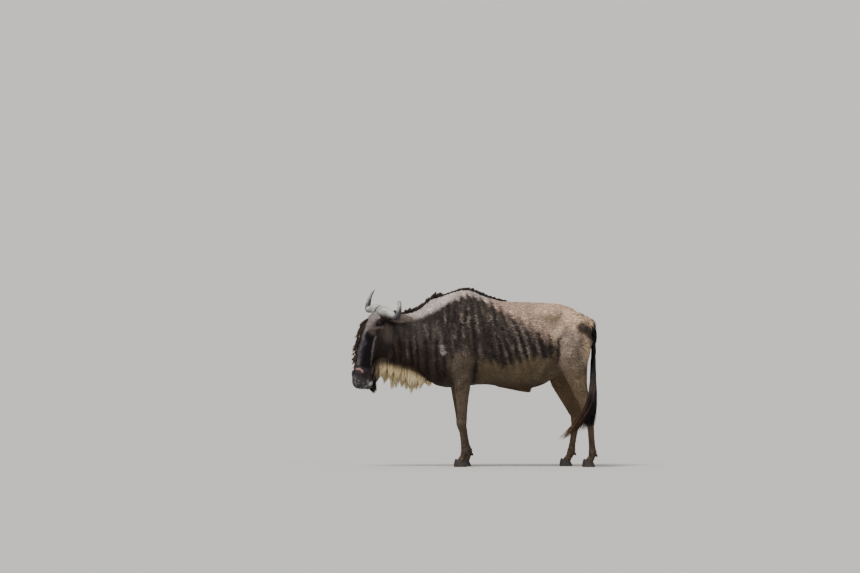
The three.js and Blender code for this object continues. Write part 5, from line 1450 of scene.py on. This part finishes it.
def addEars():
    material = newMaterial("earCoat", earNodes, earMake["roughness"], coatLook["shine"])
    hair = hairMaterial("earHair", 0.4, 0.55)
    for side, name in ((1, "left"), (-1, "right")):
        mirror = np.array([1, 1, side])
        root = inHead(mirror * earMake["root"])[0]
        away = unit(mirror * earMake["away"] @ headDirections)
        front = mirror * earMake["front"] @ headDirections
        front = unit(front - (front @ away) * away)
        across = np.cross(away, front)
        cup = lambda centre, r, turn: (centre - front * (np.cos(turn) * r)[:, None]
                                       + across * (np.sin(turn) * r)[:, None])
        rows = smoothRows(earMake["rows"], 4)
        steps = earMake["steps"]
        rings, inner, rim = [], [], []
        for t, radius, opened in rows:
            drop = np.array([0, 0, -earMake["droop"] * t * t])
            centre = root + drop + away * earMake["long"] * t + front * radius * 0.4
            inside = max(radius - earMake["thick"], radius * 0.6)
            share = np.linspace(0, 1, steps + 1)
            angle = np.radians(mix(-opened, opened, share))
            rings.append(np.concatenate([cup(centre, radius, angle), cup(centre, inside, angle[::-1])]))
            inner += [0] * (steps + 1) + [1] * (steps + 1)
            rim += list(np.abs(share * 2 - 1)) * 2
        points, faces = loft(np.array(rings))
        extra = {"inner": np.array(inner + [0, 0], float), "rim": np.array(rim + [0, 0], float)}
        made = makeMesh("ear" + name.capitalize(), toRow(points), faces, material, attributes=extra)
        unwrap(made)
        settle(made, "dark_coat", "ear_" + name)
        # hair inside the cup and along its edges
        draw = np.random.default_rng(31 + side)
        n = earMake["hairs"]
        t = draw.uniform(0.12, 0.93, n)
        radius, opened = np.interp(t, rows[:, 0], rows[:, 1]), np.interp(t, rows[:, 0], rows[:, 2])
        onEdge = draw.random(n) < 0.6
        atEdge = np.sign(draw.random(n) - 0.5) * draw.uniform(0.86, 1, n)
        turn = np.radians(np.where(onEdge, atEdge, draw.uniform(-0.8, 0.8, n)) * opened)
        drop = np.stack([t * 0, t * 0, -earMake["droop"] * t * t], 1)
        centre = root + drop + away * earMake["long"] * t[:, None] + front * (radius * 0.4)[:, None]
        start = cup(centre, radius - 2, turn)
        inward = unit(centre - start) * 0.35 + away * 0.9 + draw.normal(0, 0.12, (n, 3))
        length = draw.uniform(12, 26, n)[:, None]
        paths = np.stack([start, start + inward * length * 0.5, start + (inward + away * 0.3) * length], 1)
        made = makeStrands("earHair" + name.capitalize(), paths, draw.uniform(1.2, 2.4, n),
                           np.tile(front, (n, 1)), hair, skinUv(start), draw, 0.5,
                           colors=rootToTip(n, 3, earMake["edge"], earMake["hair"]))
        settle(made, "dark_coat")


# Eyes: wet dark balls set in the openings of the skin
eyeLook = {
    "iris": (0.009, 0.005, 0.003), "pupil": (0.002, 0.0015, 0.0015), "white": (0.010, 0.007, 0.006),
    "middle": (0.095, 0.064), "flat": 1.7, "pupilEdge": (0.005, 0.0075), "irisEdge": (0.0150, 0.0175),
    "roughness": 0.12, "shine": 0.35,
}


def eyeNodes(start, place):
    a, d, _ = headPlaces(start, place)
    middleA, middleD = eyeLook["middle"]
    across = start.maths("ABSOLUTE", (d - middleD) * eyeLook["flat"])
    along = start.maths("ABSOLUTE", a - middleA)
    near = start.maths("SQRT", across * across + along * along)
    color = mixColors(start, near.ease(*eyeLook["pupilEdge"]), eyeLook["pupil"], eyeLook["iris"])
    color = mixColors(start, near.ease(*eyeLook["irisEdge"]), color, eyeLook["white"])
    return {"Base Color": color}


def addEyes():
    material = newMaterial("eyeWet", eyeNodes, eyeLook["roughness"], eyeLook["shine"])
    for side, name in ((1, "left"), (-1, "right")):
        centre = inHead((eyeMake["along"], eyeMake["dorsal"], eyeMake["side"] * side))[0]
        turn = np.linspace(0, 2 * pi, 32, endpoint=False)
        rise = np.linspace(-pi / 2 + 0.05, pi / 2 - 0.05, 20)
        flat = np.stack([np.cos(turn), np.sin(turn), turn * 0], 1)
        size = eyeMake["radius"] - 0.2
        rings = [(flat * np.cos(r) + [0, 0, np.sin(r)]) @ headDirections * size + centre for r in rise]
        points, faces = loft(np.array(rings))
        made = makeMesh("eye" + name.capitalize(), toRow(points), faces, material)
        unwrap(made)
        settle(made, "eye", "eye_" + name)


# Hooves: two claws a foot
hoofMake = {
    "long": 92, "wide": 37, "high": 46, "gap": 5, "slope": 0.34, "heel": 42,
    "levels": (0, 0.02, 0.06, 0.14, 0.26, 0.4, 0.55, 0.7, 0.84, 0.95, 1), "rounded": {0: 0.02, 1: 0.05},
    "grow": [(0, 1), (0.18, 0.99), (0.52, 0.9), (1, 0.74)], "back": [(0, 0), (0.18, 2), (0.52, 8), (1, 15)],
    "outline": [(0, 0.12), (0.1, 0.02), (0.45, 0), (0.8, 0.05), (1, 0.22), (1.03, 0.42), (0.95, 0.68),
                (0.72, 0.92), (0.42, 1), (0.12, 0.88), (0, 0.55)],
    "dark": (0.018, 0.015, 0.014), "dust": (0.048, 0.035, 0.026), "roughness": 0.5, "shine": 0.25,
}


def hoofNodes(start, place):
    z = place.split()[2]
    fine = place.noise(70, 4)
    rings = start.maths("SINE", z * 900 + fine * 5)
    dust = (1 - z.ease(0.004, 0.045)) * fine.ease(0.4, 0.65)
    color = mixColors(start, dust * 0.7 + fine * 0.15, hoofMake["dark"], hoofMake["dust"])
    bump = (rings * 0.5 + fine, 0.35, 0.002)
    return {"Base Color": color, "Roughness": fine.ease(0.3, 0.7, 0.42, 0.7), "bump": bump}


def hoofOutline():
    line = np.array(hoofMake["outline"], float)
    around = zip(*[np.roll(line, back, 0) for back in (1, 0, -1, -2)])
    return np.array([onCurve(*near, t) for near in around for t in (0, 0.25, 0.5, 0.75)])


# Rings of one claw from the sole up, smaller and further back as they rise
def clawRings(x, y, side):
    line = hoofOutline()
    rings = []
    for f in hoofMake["levels"]:
        grow = table(hoofMake["grow"], f) - hoofMake["rounded"].get(f, 0)
        back = table(hoofMake["back"], f)
        px = x + hoofMake["heel"] - (back + line[:, 0] * hoofMake["long"] * grow)
        inner = hoofMake["gap"] / 2 + (1 - grow) * hoofMake["wide"] * 0.25
        py = y + side * (inner + line[:, 1] * hoofMake["wide"] * grow)
        rings.append(np.stack([px, py, f * (hoofMake["high"] + hoofMake["slope"] * (x - px))], 1))
    return np.array(rings)


def addHooves():
    material = newMaterial("hoofKeratin", hoofNodes, hoofMake["roughness"], hoofMake["shine"])
    dewPoints, dewFaces, count = [], [], 0
    for leg, end, hand in (("foreLeft", "fore", "left"), ("foreRight", "fore", "right"),
                           ("hindLeft", "hind", "left"), ("hindRight", "hind", "right")):
        x, y = legRows[leg][-1][:2]
        outward = -1 if hand == "left" else 1
        for claw, side in (("outer", outward), ("inner", -outward)):
            points, faces = loft(clawRings(x, y, side))
            title = "hoof" + end.capitalize() + hand.capitalize() + claw.capitalize()
            made = makeMesh(title, toRow(points), faces, material)
            unwrap(made)
            settle(made, "hoof", f"hoof_{end}_{hand}_{claw}")
        fetlock = legRows[leg][-3]
        for s in (-1, 1):
            at = np.array([fetlock[0] + fetlock[5] * 0.62, fetlock[1] + 14 * s, fetlock[2] - 12])
            tip = at + [14, 2 * s, -18]
            rows = [(*mix(at, tip, t), r) for t, r in ((-0.2, 9), (0.3, 9.6), (0.75, 7.4), (1, 3.5))]
            points, faces = loft(tubeRings(rows, 14, 4))
            dewPoints.append(points)
            dewFaces.append(faces + count)
            count += len(points)
    made = makeMesh("dewClaws", toRow(np.concatenate(dewPoints)), np.concatenate(dewFaces), material)
    unwrap(made)
    settle(made, "hoof")


for work in (addMane, addBeard, addFringe, addBrush, addTail, addHorns, addEars, addEyes, addHooves):
    work()


# Floor, light and camera. The sun and the world are balanced so that the floor runs into the background
stageMake = {
    "half": 300, "roughness": 0.9,
    "floor": (0.40, 0.395, 0.385), "sun": 4.4, "sunSoft": 24, "sunFrom": (-0.30, -0.50, 1.0),
    "lens": 300, "sensor": 36, "distance": 51.96, "aimX": -0.323, "aimZ": 1.306,
}


def floorNodes(start, place):
    soft = place.noise(0.6, 2).ease(0.3, 0.7)
    darker = tuple(c * 0.985 for c in stageMake["floor"])
    return {"Base Color": mixColors(start, soft, stageMake["floor"], darker)}


def addStage():
    half = stageMake["half"]
    corners = [(-half, -half, 0), (half, -half, 0), (half, half, 0), (-half, half, 0)]
    paint = newMaterial("floorPaint", floorNodes, stageMake["roughness"], 0.0)
    floor = makeMesh("floor", corners, [(0, 1, 2, 3)], paint)
    sunFrom = Vector(stageMake["sunFrom"]).normalized()
    light = bpy.data.lights.new("studioSun", "SUN")
    light.energy, light.angle = stageMake["sun"], radians(stageMake["sunSoft"])
    lamp = bpy.data.objects.new("studioSun", light)
    lamp.rotation_euler = sunFrom.to_track_quat("Z", "Y").to_euler()
    bpy.context.scene.collection.objects.link(lamp)
    # the brightness at which a plain floor of this paint looks like the world behind it
    world = bpy.data.worlds.new("studio")
    world.use_nodes = True
    background = next(n for n in world.node_tree.nodes if n.type == "BACKGROUND")
    glow = [c * stageMake["sun"] * sunFrom.z / pi / (1 - c) for c in stageMake["floor"]]
    background.inputs["Color"].default_value = (*glow, 1)
    background.inputs["Strength"].default_value = 1
    bpy.context.scene.world = world
    camera = bpy.data.objects.new("camera", bpy.data.cameras.new("camera"))
    camera.data.lens, camera.data.sensor_width = stageMake["lens"], stageMake["sensor"]
    camera.data.clip_end = 500
    camera.location = (stageMake["aimX"] + shift[0] / 1000, -stageMake["distance"], stageMake["aimZ"])
    camera.rotation_euler = (pi / 2, 0, 0)
    bpy.context.scene.collection.objects.link(camera)
    bpy.context.scene.camera = camera


addStage()
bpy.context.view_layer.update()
